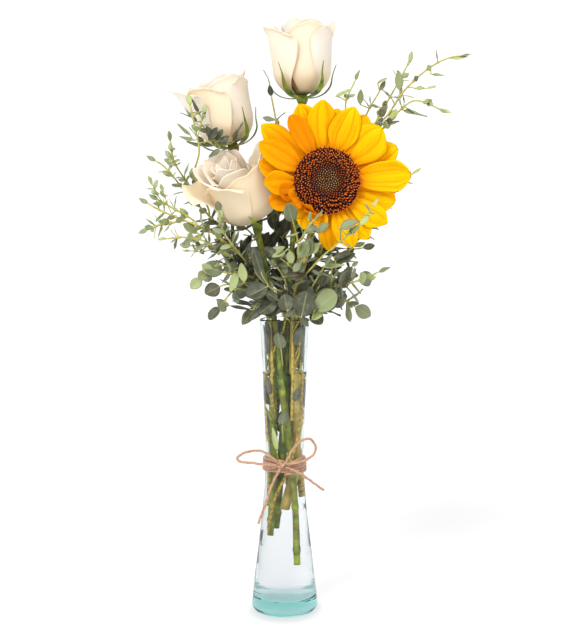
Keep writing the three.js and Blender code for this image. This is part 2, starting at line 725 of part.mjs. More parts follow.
// The disc's height at a share of its radius: a dome with a dip in its middle.
function discHeight(share) {
  const { discRise, discDip, discEdge } = SUNFLOWER;
  return discEdge + discRise * (1 - share ** 2.4) - discDip * (1 - smooth(0, 0.45, share));
}

// The disc: a dome whose florets are a relief of points that alternate from ring to ring.
function sunDiscSolid() {
  const { discRadius, discEdge, discRings: rings, discSectors: sectors, floret } = SUNFLOWER;
  const points = [];
  const index = [];
  const circle = (radius, heightAt) => {
    for (let k = 0; k < sectors; k++) points.push(polar((2 * Math.PI * k) / sectors, radius, 0, heightAt(k)));
  };
  for (let i = 1; i <= rings; i++) {
    const height = discHeight(i / rings);
    circle((discRadius * i) / rings, (k) => height + (i < rings && (i + k) % 2 === 0 ? floret : 0));
  }
  const top = points.push(new THREE.Vector3(0, 0, discHeight(0))) - 1;
  circle(discRadius - discEdge, () => 0);
  const low = top + 1;
  for (let k = 0; k < sectors; k++) {
    const next = (k + 1) % sectors;
    index.push(top, k, next);
    for (let i = 0; i < rings - 1; i++) {
      const [a, b] = [i * sectors + k, i * sectors + next];
      index.push(a, a + sectors, b, b, a + sectors, b + sectors);
    }
    const edge = (rings - 1) * sectors;
    index.push(edge + k, low + k, edge + next, edge + next, low + k, low + next);
    if (k > 0 && k < sectors - 1) index.push(low, low + k + 1, low + k);
  }
  return solid(meshFrom(points, index)).transform(sunPlace().elements);
}

// The green back of the head: a shallow cup that narrows to the stem, with pointed bracts round its edge.
function sunStemSolid() {
  const { backDepth, neckDepth, ringOuter, ringTop, ringThick, bracts, bractLength, bractRows } = SUNFLOWER;
  const front = ringTop - ringThick - GAP;
  const back = front - backDepth;
  const profile = [[0, back - neckDepth], [3.4, back - neckDepth], [7, back], [ringOuter - 3, front - 4],
    [ringOuter - 1, front], [0, front]];
  const leaves = Array.from({ length: bracts }, (_, k) => {
    const outer = k % 2;
    const phase = (2 * Math.PI * (k + 0.4 * outer)) / bracts;
    const grid = bractRows.map(([s, width]) => {
      const up = front - 2.4 - (2 + 3 * outer) * s * s;
      return [-0.5, 0.5].map((u) => polar(phase, ringOuter - 7 + bractLength * s, u * width, up));
    });
    return solid(blade(grid, SEPALS.thick));
  });
  const head = [solid(lathe(profile, 14)), ...leaves].map((part) => part.transform(sunPlace().elements));
  return fused([stemSolid("sunflower"), ...head]);
}

// Twine

function wrapSolid() {
  const { radius, turns, pitch, z } = TWINE;
  const low = z - ((turns - 1) * pitch) / 2;
  const high = low + (turns - 1) * pitch;
  const wall = (height) => outerRadius(height) + GAP;
  const profile = [];
  for (let i = 0; i < turns; i++) {
    const centre = low + i * pitch;
    if (i) profile.push([wall(centre) + 0.9 * radius, centre - pitch / 2]);
    profile.push([wall(centre) + 2.1 * radius, centre]);
  }
  const bottom = [wall(low - radius), low - radius];
  const top = [wall(high + radius), high + radius];
  const ring = lathe([bottom, ...profile, top, [wall(z) + 0.1, z], bottom], VASE.sides);
  const knot = new THREE.SphereGeometry(1, 8, 5).scale(...TWINE.knotSize).translate(...TWINE.knot);
  return fused([solid(ring), solid(knot)]);
}

function twineGeometry(path) {
  const curve = new THREE.CatmullRomCurve3(path.map(vec));
  const section = new THREE.Shape(
    Array.from({ length: TWINE.sides }, (_, k) => {
      const angle = (2 * Math.PI * k) / TWINE.sides;
      return new THREE.Vector2(TWINE.radius * Math.cos(angle), TWINE.radius * Math.sin(angle));
    }),
  );
  const steps = Math.round(curve.getLength() / (3 * TWINE.radius * 2));
  return new THREE.ExtrudeGeometry(section, { steps, extrudePath: curve, bevelEnabled: false });
}

// Eucalyptus

// What every leaf keeps clear of, as balls: { p: centre, r: radius, node: name }.
function flowerBalls() {
  const balls = [];
  for (const [name, stem] of Object.entries(STEMS))
    for (const p of lineThrough(stem.path.map(vec))) balls.push({ p, r: stem.radius + 1, node: name });
  for (const { base, axis, clear, stem } of Object.values(ROSES)) {
    const up = vec(axis).normalize();
    for (const [height, r] of clear) balls.push({ p: vec(base).addScaledVector(up, height), r, node: stem });
  }
  return balls;
}

// Whether a ball at p meets the glass, the water or the sunflower's head.
function inTheWay(p, r) {
  const out = Math.hypot(p.x, p.y);
  const outside = out > outerRadius(p.z) + r + GLASS_ROOM;
  if (p.z < WATER_TOP + 1 + r) return !outside;
  if (p.z < VASE.height + r && !outside && out > innerRadius(p.z) - r - GLASS_ROOM) return true;
  const facing = vec(SUNFLOWER.facing).normalize();
  const from = p.clone().sub(vec(SUNFLOWER.centre));
  const forward = from.dot(facing);
  const distance = from.addScaledVector(facing, -forward).length();
  const petals = rayHeight(distance, HEAD_ROOM.lean, 0);
  return distance < HEAD_ROOM.radius + r && forward > petals - HEAD_ROOM.behind - r &&
    forward < petals + HEAD_ROOM.before + r;
}

// A twig's or leaf's balls, spaced closely enough that clear balls mean clear solids.
function twigBalls(line, radius, node) {
  const length = lengthsOf(line).at(-1);
  const count = Math.ceil(length / 2);
  const ball = (share) => ({ p: at(line, share).point, r: radius + 0.7, node });
  return Array.from({ length: count + 1 }, (_, i) => ball(i / count));
}

// A narrow leaf is widest below its middle and pointed, and a round one is nearly an ellipse.
function leafHalfWidth(leaf, s) {
  const round = Math.min(1, leaf.round);
  const fullness = Math.sin(Math.PI * mix(s ** 0.8, s, round)) ** mix(0.85, 0.6, round);
  return 0.5 * leaf.length * leaf.round * fullness;
}

// A point on the leaf: s runs from its root to its tip and u across it.
function leafPoint(leaf, s, u) {
  const along = leaf.length * s;
  const arch = leaf.bend * leaf.length * (s * s - s);
  return leaf.root
    .clone()
    .addScaledVector(leaf.along, along)
    .addScaledVector(leaf.side, u * leafHalfWidth(leaf, s))
    .addScaledVector(leaf.up, arch);
}

function leafBalls(leaf, node) {
  const pitch = Math.max(1.5, (leaf.length * leaf.round) / 7);
  const rows = Math.ceil(leaf.length / pitch);
  const balls = [];
  for (let i = 1; i <= rows; i++) {
    const s = i / rows;
    const cols = Math.ceil((2 * leafHalfWidth(leaf, s)) / pitch);
    for (let j = 0; j <= cols; j++) {
      const u = cols ? (2 * j) / cols - 1 : 0;
      balls.push({ p: leafPoint(leaf, s, u), r: 0.62 * pitch + 0.35, node, s });
    }
  }
  return balls;
}

// Leaves of one branch may come closer to each other, and meet their own twig at the root.
function fits(balls, root, taken) {
  return balls.every(
    (a) =>
      !inTheWay(a.p, a.r) &&
      taken.every((b) => {
        const own = a.node === b.node;
        if (own && b.p.distanceTo(root) < ROOT_ROOM) return true;
        return a.p.distanceTo(b.p) > (own ? 0.85 : 1) * (a.r + b.r);
      }),
  );
}

// One leaf at a spot of a twig, pointing along a direction, with its face turned by tip radians about that.
function leafAlong(spot, radius, along, tip, length, round, bend) {
  const out = along.clone().addScaledVector(spot.along, -along.dot(spot.along)).normalize();
  const across = new THREE.Vector3().crossVectors(spot.along, out).normalize();
  const face = new THREE.Vector3().crossVectors(along, across).normalize();
  const side = across.multiplyScalar(Math.cos(tip)).addScaledVector(face, Math.sin(tip));
  const up = new THREE.Vector3().crossVectors(side, along).normalize();
  const root = spot.point.clone().addScaledVector(out, 0.7 * radius);
  return { root, out, along, side, up, length, round, bend };
}

// The direction of a leaf that is turned about its twig by roll and away from it by open.
function leafDirection(spot, roll, open) {
  const side = perpendicular(spot.along);
  const lift = new THREE.Vector3().crossVectors(side, spot.along);
  const out = side.multiplyScalar(Math.cos(roll)).addScaledVector(lift, Math.sin(roll));
  return out.multiplyScalar(Math.sin(open)).addScaledVector(spot.along, Math.cos(open)).normalize();
}

// The attitudes that a leaf tries in turn: its turn about the twig, share of its opening, share of its
// length.
const ATTITUDES = [
  [0, 1, 1], [0.5, 1, 1], [-0.5, 1, 1], [0, 0.5, 0.9], [0.7, 0.7, 0.85], [-0.7, 0.7, 0.85], [0.3, 0.55, 0.75],
  [-0.3, 0.8, 0.65],
];

// Leaf pairs along one twig. Each leaf takes the first attitude that is clear of everything placed before it.
function growLeaves(twig, node, draw, taken) {
  const nodes = [];
  for (let i = 0; i < twig.pairs; i++) {
    const t = (i + 0.5) / twig.pairs;
    const distance = mix(twig.start, 0.985, t) * twig.length;
    const spot = at(twig.line, distance / twig.length);
    const twist = 0.7 * (draw() - 0.5);
    const sprouts = [];
    for (let k = 0; k < 2; k++) {
      const roll = Math.PI * (k + 0.5 * (i % 2)) + twist;
      const tip = 0.8 * (draw() - 0.5);
      const wide = degrees(52 + 24 * draw());
      const length = mix(twig.sizes[0], twig.sizes[1], t) * (0.85 + 0.3 * draw());
      const bend = 0.1 + 0.25 * draw();
      const inVase = spot.point.z < VASE.height + 3;
      const round = mix(twig.rounds[0], twig.rounds[1], t) * (inVase ? 0.6 : 1);
      for (const [turn, close, shrink] of ATTITUDES) {
        const open = inVase ? degrees(14) : wide * close;
        const along = leafDirection(spot, roll + turn, open);
        const leaf = leafAlong(spot, twig.radius(distance), along, tip, length * shrink, round, bend);
        const balls = leafBalls(leaf, node);
        if (leaf.length < SMALLEST_LEAF || !fits(balls, leaf.root, taken)) continue;
        sprouts.push({ out: leaf.out, leaf });
        taken.push(...balls);
        break;
      }
    }
    if (sprouts.length) nodes.push({ distance, sprouts });
  }
  return nodes;
}

// A twig: its line, its radius at a distance along it, and the nodes where leaves and side twigs grow.
function makeTwig(spec, points, start, radii) {
  const line = lineThrough(points);
  const length = lengthsOf(line).at(-1);
  return { ...spec, line, length, start, radius: (d) => mix(radii[0], radii[1], d / length), nodes: [] };
}

// How a side twig leaves a stem towards a point: its outward direction, its root on the stem's face, and
// a knee that takes a long one clear of the stem before it bends along it.
function rootOn(stem, share, point) {
  const spot = at(stem.line, share);
  const toward = point.clone().sub(spot.point);
  const far = toward.length() > 4 * KNEE;
  const out = toward.addScaledVector(spot.along, -toward.dot(spot.along)).normalize();
  const root = spot.point.clone().addScaledVector(out, 0.7 * stem.radius(share * stem.length));
  const knee = root.clone().addScaledVector(out, KNEE).addScaledVector(spot.along, KNEE);
  return { out, start: far ? [root, knee] : [root] };
}

// A leaf listed by itself, as a twig: its stalk turns into the leaf's direction before the leaf's root.
function stalkTwig([from, root, tip, width]) {
  const before = vec(root).addScaledVector(vec(tip).sub(vec(root)).normalize(), -KNEE);
  return { from, to: [before.toArray(), root], tip, width, pairs: 0 };
}

function makeBranch(branch) {
  const main = makeTwig(branch, branch.path.map(vec), 0, [branch.radius, 0.6]);
  main.start = shareAtHeight(main.line, LEAVES_FROM);
  main.twigs = [...(branch.leaves ?? []).map(stalkTwig), ...branch.twigs].map((spec) => {
    const { out, start } = rootOn(main, spec.from, vec(spec.to[0]));
    const radii = spec.pairs ? [0.75, 0.6] : [0.6, 0.6];
    const twig = makeTwig(spec, [...start, ...spec.to.map(vec)], 0.2, radii);
    main.nodes.push({ distance: spec.from * main.length, sprouts: [{ out, twig }] });
    return twig;
  });
  return main;
}

// The leaf that ends a twig. It faces forward and up, turned by turn radians about its own line.
function endLeaf(twig, along, length, round, turn) {
  const side = new THREE.Vector3().crossVectors(along, new THREE.Vector3(0, -0.75, 0.65)).normalize();
  side.applyAxisAngle(along, turn);
  const up = new THREE.Vector3().crossVectors(side, along);
  return { root: at(twig.line, 1).point, along, side, up, length, round, bend: 0.12 };
}

function growEnd(twig, node, draw, taken) {
  if (twig.pairs) {
    const length = Math.max(SMALLEST_LEAF, twig.sizes[1]);
    twig.end = endLeaf(twig, at(twig.line, 1).along, length, twig.rounds[1], draw() - 0.5);
  } else {
    const reach = vec(twig.tip).sub(at(twig.line, 1).point);
    const length = reach.length();
    twig.end = endLeaf(twig, reach.normalize(), length, twig.width / length, 0.5 * (draw() - 0.5));
  }
  taken.push(...leafBalls(twig.end, node));
}

function planBranches() {
  const taken = flowerBalls();
  const mains = BRANCHES.map(makeBranch);
  for (const main of mains)
    for (const twig of [main, ...main.twigs]) taken.push(...twigBalls(twig.line, twig.radius(0), main.name));
  for (const main of mains) {
    const draw = draws(main.seed);
    for (const twig of [main, ...main.twigs]) growEnd(twig, main.name, draw, taken);
  }
  for (const main of mains) {
    const draw = draws(main.seed + 1);
    for (const twig of [main, ...main.twigs]) twig.nodes.push(...growLeaves(twig, main.name, draw, taken));
  }
  return mains;
}

// Adds a leaf to a mesh, grown from a face of its twig: straight across, arched along its length.
function addLeaf(mesh, quad, leaf) {
  const rows = leaf.length * leaf.round > ROUND_LEAF ? [0.3, 0.74] : [0.5];
  const shift = leaf.up.clone().multiplyScalar(LEAF_THICK / 2);
  const edge = outline(rows).map(([s, u]) => leafPoint(leaf, s, u));
  mesh.blade(quad, edge.map((p) => p.clone().add(shift)), edge.map((p) => p.clone().sub(shift)));
}

// The distances at which a twig has a ring of corners: its ends, each side of every node, and steps between.
function stationsOf(twig, nodes) {
  const stations = [{ distance: 0 }];
  const walk = (distance, node) => {
    const from = stations.at(-1).distance;
    const steps = Math.ceil((distance - from) / (twig.pairs ? BRANCH_STEP : STALK_STEP));
    for (let i = 1; i < steps; i++) stations.push({ distance: mix(from, distance, i / steps) });
    stations.push({ distance, node });
  };
  for (const node of nodes) {
    walk(node.distance - NODE_LENGTH / 2, node);
    stations.push({ distance: node.distance + NODE_LENGTH / 2 });
  }
  walk(twig.length);
  return stations;
}

// Adds a four-sided twig to a mesh. A side twig starts from the four corners of a face of its stem.
function addTwig(mesh, twig, corners) {
  const nodes = [];
  for (const node of twig.nodes.toSorted((m, n) => m.distance - n.distance))
    if (node.distance - (nodes.at(-1)?.distance ?? 0) > NODE_ROOM) nodes.push(node);
  const stations = stationsOf(twig, nodes);
  const first = at(twig.line, 0);
  let side = corners ? mesh.at(corners[0]).sub(first.point) : perpendicular(first.along);
  let turn = 0;
  let ring = corners;
  let grow = new Map();
  let last = 0;
  if (!corners) ring = ringAt(mesh, twig, 0, side, 0);
  if (!corners) mesh.quad(ring[0], ring[3], ring[2], ring[1]);
  for (const station of stations.slice(1)) {
    const { along } = at(twig.line, station.distance / twig.length);
    side = side.addScaledVector(along, -side.dot(along)).normalize();
    const angle = (out) => Math.atan2(out.dot(new THREE.Vector3().crossVectors(along, side)), out.dot(side));
    const faces = new Map();
    if (station.node) {
      const wanted = angle(station.node.sprouts[0].out) - Math.PI / 4 - turn;
      turn += wanted - (Math.PI / 2) * Math.round(wanted / (Math.PI / 2));
      for (const sprout of station.node.sprouts) {
        const face = Math.round((angle(sprout.out) - turn - Math.PI / 4) / (Math.PI / 2));
        faces.set((face + 8) % 4, sprout);
      }
    }
    if (station === stations.at(-1)) {
      const wanted = angle(twig.end.up.clone().sub(twig.end.side)) - turn;
      last = Math.round(wanted / (Math.PI / 2));
      turn += wanted - (Math.PI / 2) * last;
    }
    const next = ringAt(mesh, twig, station.distance, side, turn);
    for (let k = 0; k < 4; k++) {
      const quad = [ring[k], ring[(k + 1) % 4], next[(k + 1) % 4], next[k]];
      const sprout = grow.get(k);
      if (sprout?.leaf) addLeaf(mesh, quad, sprout.leaf);
      else if (sprout) addTwig(mesh, sprout.twig, quad);
      else mesh.quad(...quad);
    }
    ring = next;
    grow = faces;
  }
  addLeaf(mesh, [0, 1, 2, 3].map((k) => ring[(k + last + 8) % 4]), twig.end);
}

function ringAt(mesh, twig, distance, side, turn) {
  const { point, along } = at(twig.line, distance / twig.length);
  const up = new THREE.Vector3().crossVectors(along, side);
  const r = twig.radius(distance);
  return [0, 1, 2, 3].map((k) => {
    const angle = turn + (Math.PI / 2) * k;
    return mesh.point(
      point.clone().addScaledVector(side, r * Math.cos(angle)).addScaledVector(up, r * Math.sin(angle)),
    );
  });
}

function branchGeometry(main) {
  const mesh = growingMesh();
  addTwig(mesh, main);
  return mesh.geometry();
}

// The hole in the water that a branch's stem stands in.
function branchHole(branch) {
  const line = lineThrough(branch.path.map(vec));
  const steps = Math.ceil(lengthsOf(line).at(-1) / BRANCH_STEP);
  return solid(tube(line, () => (branch.radius + GAP) * 1.25, steps, STEM_SIDES));
}

// The whole bouquet

const GLASS = { color: 0xdfeeee, roughness: 0.05, metalness: 0, transparent: true, opacity: 0.35 };
const WATER = { color: 0xe8f4f4, roughness: 0.05, metalness: 0, transparent: true, opacity: 0.3 };
const JUTE = { color: 0xb98a62, roughness: 0.9, metalness: 0 };
const CREAM = { color: 0xf7ebd6, roughness: 0.6, metalness: 0 };
const YELLOW = { color: 0xffb300, roughness: 0.55, metalness: 0 };
const BROWN = { color: 0x40190f, roughness: 0.85, metalness: 0 };
const GREEN = { color: 0x5f7d35, roughness: 0.6, metalness: 0 };
const EUCALYPTUS = { color: 0x7f917c, roughness: 0.7, metalness: 0 };

const bouquet = new THREE.Group();

function addNode(name, geometry, finish) {
  const mesh = new THREE.Mesh(geometry, new THREE.MeshStandardMaterial({ ...finish }));
  mesh.name = name;
  bouquet.add(mesh);
}

const holes = [
  ...Object.keys(STEMS).map((name) => stemSolid(name, GAP + 0.15)),
  ...BRANCHES.map(branchHole),
];

addNode("vase", geometryOf(vaseSolid()), GLASS);
addNode("water", geometryOf(waterSolid(holes)), WATER);
addNode("twine_wrap", geometryOf(wrapSolid()), JUTE);
addNode("twine_loop_left", twineGeometry(TWINE.loopLeft), JUTE);
addNode("twine_loop_right", twineGeometry(TWINE.loopRight), JUTE);
addNode("twine_tail_left", twineGeometry(TWINE.tailLeft), JUTE);
addNode("twine_tail_right", twineGeometry(TWINE.tailRight), JUTE);
for (const [name, rose] of Object.entries(ROSES)) {
  addNode(`rose_${name}_bloom`, geometryOf(roseSolid(rose)), CREAM);
  addNode(`rose_${name}_stem`, geometryOf(roseStemSolid(rose)), GREEN);
}
addNode("sunflower_petals", sunPetalGeometry(), YELLOW);
addNode("sunflower_disc", geometryOf(sunDiscSolid()), BROWN);
addNode("sunflower_stem", geometryOf(sunStemSolid()), GREEN);
for (const branch of planBranches()) addNode(branch.name, branchGeometry(branch), EUCALYPTUS);

export default bouquet;
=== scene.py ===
"""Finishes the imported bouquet: a sunflower, cream roses and eucalyptus in a glass bud vase tied with jute.
Shapes are worked out in millimetres, in the CAD frame, and made into meshes in metres."""
import math

import bpy
import numpy as np
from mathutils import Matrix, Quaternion, Vector


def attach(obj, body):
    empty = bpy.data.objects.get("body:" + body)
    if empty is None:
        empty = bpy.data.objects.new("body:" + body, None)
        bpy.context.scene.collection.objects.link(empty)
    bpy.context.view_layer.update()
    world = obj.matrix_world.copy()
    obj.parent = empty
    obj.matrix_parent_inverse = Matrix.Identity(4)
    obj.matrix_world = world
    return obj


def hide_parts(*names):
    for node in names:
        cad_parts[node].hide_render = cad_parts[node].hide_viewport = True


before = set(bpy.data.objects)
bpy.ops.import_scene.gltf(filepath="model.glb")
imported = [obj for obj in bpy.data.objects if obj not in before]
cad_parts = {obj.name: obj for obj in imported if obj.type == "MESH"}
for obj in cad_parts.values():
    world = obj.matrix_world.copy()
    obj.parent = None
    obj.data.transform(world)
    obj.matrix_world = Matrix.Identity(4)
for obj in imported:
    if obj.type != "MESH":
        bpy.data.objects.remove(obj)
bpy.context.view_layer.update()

# Driving dimensions, the same as the part's. Comments name what differs, and what is only for the look.

MM = 0.001
GAP = 0.3
VASE = {
    "height": 230,
    "wall": 2,
    "floor": 11.5,
    "outer": [
        [0, 23.6], [1.6, 25.3], [5, 26], [48, 21], [85, 17], [118, 14.5], [150, 15.5], [185, 17.2],
        [214, 18.2], [230, 19.5],
    ],
}
STEMS = {
    "rose_top": {
        "radius": 2.1,
        "path": [
            [-5, 5, 64], [-1.5, 7.5, 118], [3, 9, 229], [5, 11, 270], [9, 13, 330], [13, 14, 380],
            [13.5, 14, 399.5],
        ],
    },
    "rose_back": {
        "radius": 2.1,
        "path": [
            [-9, -3, 60], [-6.5, 2.5, 118], [-8, 7, 229], [-14, 11, 265], [-26, 22, 310], [-37, 22, 347],
            [-40, 20, 362.5],
        ],
    },
    "rose_open": {
        "radius": 2.2,
        "path": [
            [7.8, -4, 37], [6.9, -4.2, 80], [4.5, -5, 118], [-8, -3, 229], [-12, -2, 255], [-16, 1, 277],
            [-20, 3.2, 294], [-22, 2.2, 303.5],
        ],
    },
    "sunflower": {
        "radius": 2.8,
        "path": [
            [0, 1, 80], [6.5, 2.5, 118], [7, 4, 229], [12, 7, 262], [22, 9, 300], [29, 4, 322],
            [31, -6, 332.5], [31.5, -12, 334],
        ],
    },
}
# Each petal row: direction in degrees, body radius, top as a share of the height, how far it opens, how far
# its rim curls out, how far its side edges roll out, and its half-angle round the bloom. Most of the outer
# petals, and all of the open rose's, are set closer to the photo than the part's.
# Leaves stay out of the clear rows of height and radius. sepals is where the first sepal points, in degrees.
# Only for the look: how many inner petals are rolled up, how warm the colour is, how much the rims ruffle,
# and how the open rose's whorl leans.
ROSES = {
    "top": {
        "stem": "rose_top", "base": [13.5, 14, 402.5], "axis": [-0.05, -0.03, 1], "height": 57,
        "inner": 9, "warm": 0.25, "ruffle": 1, "sepals": 22,
        "petals": [
            [20, 11.5, 0.99, 0, 0, 0.5, 80], [140, 11.5, 0.94, 0, 0, 0.5, 80],
            [260, 11.5, 0.97, 0, 0, 0.5, 80], [55, 17, 0.96, 1, 1, 1, 74], [175, 17, 0.93, 0.5, 1, 1, 74],
            [300, 17, 0.95, 1, 2, 1.5, 74], [85, 21.8, 0.9, 2, 2, 2, 62], [296, 21.6, 0.9, 0.5, 1.5, 1, 62],
            [196, 22.2, 0.9, 2.5, 3, 0.6, 70], [346, 23.6, 0.92, 1.6, 3, 2, 56],
        ],
        "clear": [[0, 8], [12, 23], [22, 26], [34, 27], [46, 28], [56, 27]],
    },
    "back": {
        "stem": "rose_back", "base": [-41, 20, 365.5], "axis": [-0.3, -0.05, 0.95], "height": 52.5,
        "inner": 9, "warm": 0.5, "ruffle": 1.4, "sepals": 22,
        "petals": [
            [0, 11.5, 0.97, 0, 0, 0.5, 80], [120, 11.5, 0.95, 0, 0, 0.5, 80],
            [240, 11.5, 0.93, 0, 0, 0.5, 80], [40, 17, 0.98, 1, 1, 1, 74], [160, 17, 0.95, 1, 1.5, 1, 74],
            [285, 17, 0.97, 0.5, 2, 1.5, 74], [95, 22, 0.9, 2, 2, 2, 62],
            [300, 21.8, 0.93, 0.5, 1.5, 1, 60], [192, 23, 0.97, 8, 3, 1, 60],
            [236, 23.4, 0.88, 1.5, 2, 1, 56], [0, 22.8, 0.97, 0, 2.5, 1.5, 58],
        ],
        "clear": [[0, 8], [12, 23], [22, 26], [32, 29], [42, 28], [52, 25]],
    },
    "open": {
        "stem": "rose_open", "base": [-22.6, 1.2, 306.5], "axis": [-0.4, -0.3, 0.87], "height": 54,
        "inner": 6, "warm": 1, "ruffle": 3, "sepals": 58,
        "whorl": {"shift": [-6, -2], "slope": [-0.12, 0.25]},
        "petals": [
            [30, 11, 0.97, 0, 2, 1.5, 86], [150, 11, 0.95, 0, 2, 1.5, 86], [270, 11, 0.95, 0, 2, 1.5, 86],
            [65, 17, 0.97, 0, 3, 2, 78], [185, 17, 0.95, 3, 3, 2, 80], [295, 17, 0.93, 1, 3, 2, 80],
            [105, 23, 0.86, 1, 3, 2, 56], [172, 23.5, 0.86, 13.5, 6, 3, 52], [225, 23.4, 0.76, 2, 3, 2, 60],
            [300, 24.6, 0.8, 0.5, 2.5, 1.5, 62], [12, 24.4, 0.95, 0, 1.5, 1.5, 52],
        ],
        "clear": [[0, 8], [12, 24], [22, 29], [32, 32], [42, 32], [50, 28]],
    },
}
# Each ray petal row: direction in degrees, length, width, forward lean, twist and layer, 1 in front. The one
# at 122 degrees is at 127 in the part, and shorter there.
SUNFLOWER = {
    "centre": [31.6, -28, 334.4],
    "facing": [0.06, -0.99, 0.08],
    "disc_radius": 24.5,
    "disc_rise": 6,
    "disc_dip": 1.6,
    "disc_edge": 1,
    "ring_outer": 22.5,
    "ring_thick": 4,
    "ring_top": -0.3,
    "back_depth": 8,
    "rays": [
        [8, 61, 24, 9, 5, 1], [28, 58, 22, 5, -5, 0], [47, 55, 30, 13, 0, 1], [60, 57, 20, 5, 5, 0],
        [75, 57, 23, 10, -5, 1], [87, 54, 20, 4, 0, 0], [98, 58, 24, 11, 5, 1], [112, 60, 21, 6, -5, 0],
        [122, 54, 15, 15, 8, 1], [142, 63, 19, 6, 5, 0], [156, 57, 20, 11, -8, 1], [171, 52, 20, 6, -5, 0],
        [188, 47, 18, 12, 6, 1], [208, 46, 18, 7, 0, 0], [227, 37, 17, 14, -6, 1], [245, 40, 16, 6, 5, 0],
        [260, 36, 15, 13, 0, 1], [275, 52, 16, 5, 5, 0], [291, 53, 17, 10, -5, 1], [308, 53, 17, 5, 5, 0],
        [325, 54, 19, 10, -5, 1], [345, 53, 21, 5, 5, 0],
    ],
    "bracts": 9,
    "bract_length": 26,
    "bract_rows": [[0, 12], [0.4, 9.5], [0.75, 5], [1, 0.9]],
}
TWINE = {
    "radius": 1.1,
    "turns": 5,
    "pitch": 2.5,
    "z": 116.5,
    "loop_left": [
        [-5.4, -18.5, 121.4], [-17, -18.5, 129.6], [-27, -18, 129.4], [-34, -17, 126.4],
        [-36.4, -16.5, 123.2], [-33, -16.4, 120.9], [-25, -17.2, 120.4], [-17, -18.2, 119.4],
        [-5.9, -18.9, 118.9],
    ],
    "loop_right": [
        [1.3, -18.9, 121.6], [6.5, -20, 131.5], [12.6, -20.4, 138], [18.6, -19.6, 139.6],
        [23.2, -18.6, 135.2], [23.4, -17.8, 128.8], [18.6, -17.8, 124], [12, -18.4, 121.4], [2, -19, 119.4],
    ],
    "tail_left": [
        [-3.2, -19.2, 116.5], [-7.3, -19.6, 109], [-11.1, -20.4, 99.9], [-14.1, -21.2, 90],
        [-18, -22, 80.1], [-20.3, -22.5, 74],
    ],
    "tail_right": [
        [1.5, -19.1, 117.2], [10.4, -19.4, 113.6], [16.5, -18.6, 109.3], [23.4, -17.6, 104],
        [30.4, -16.6, 98.6],
    ],
}
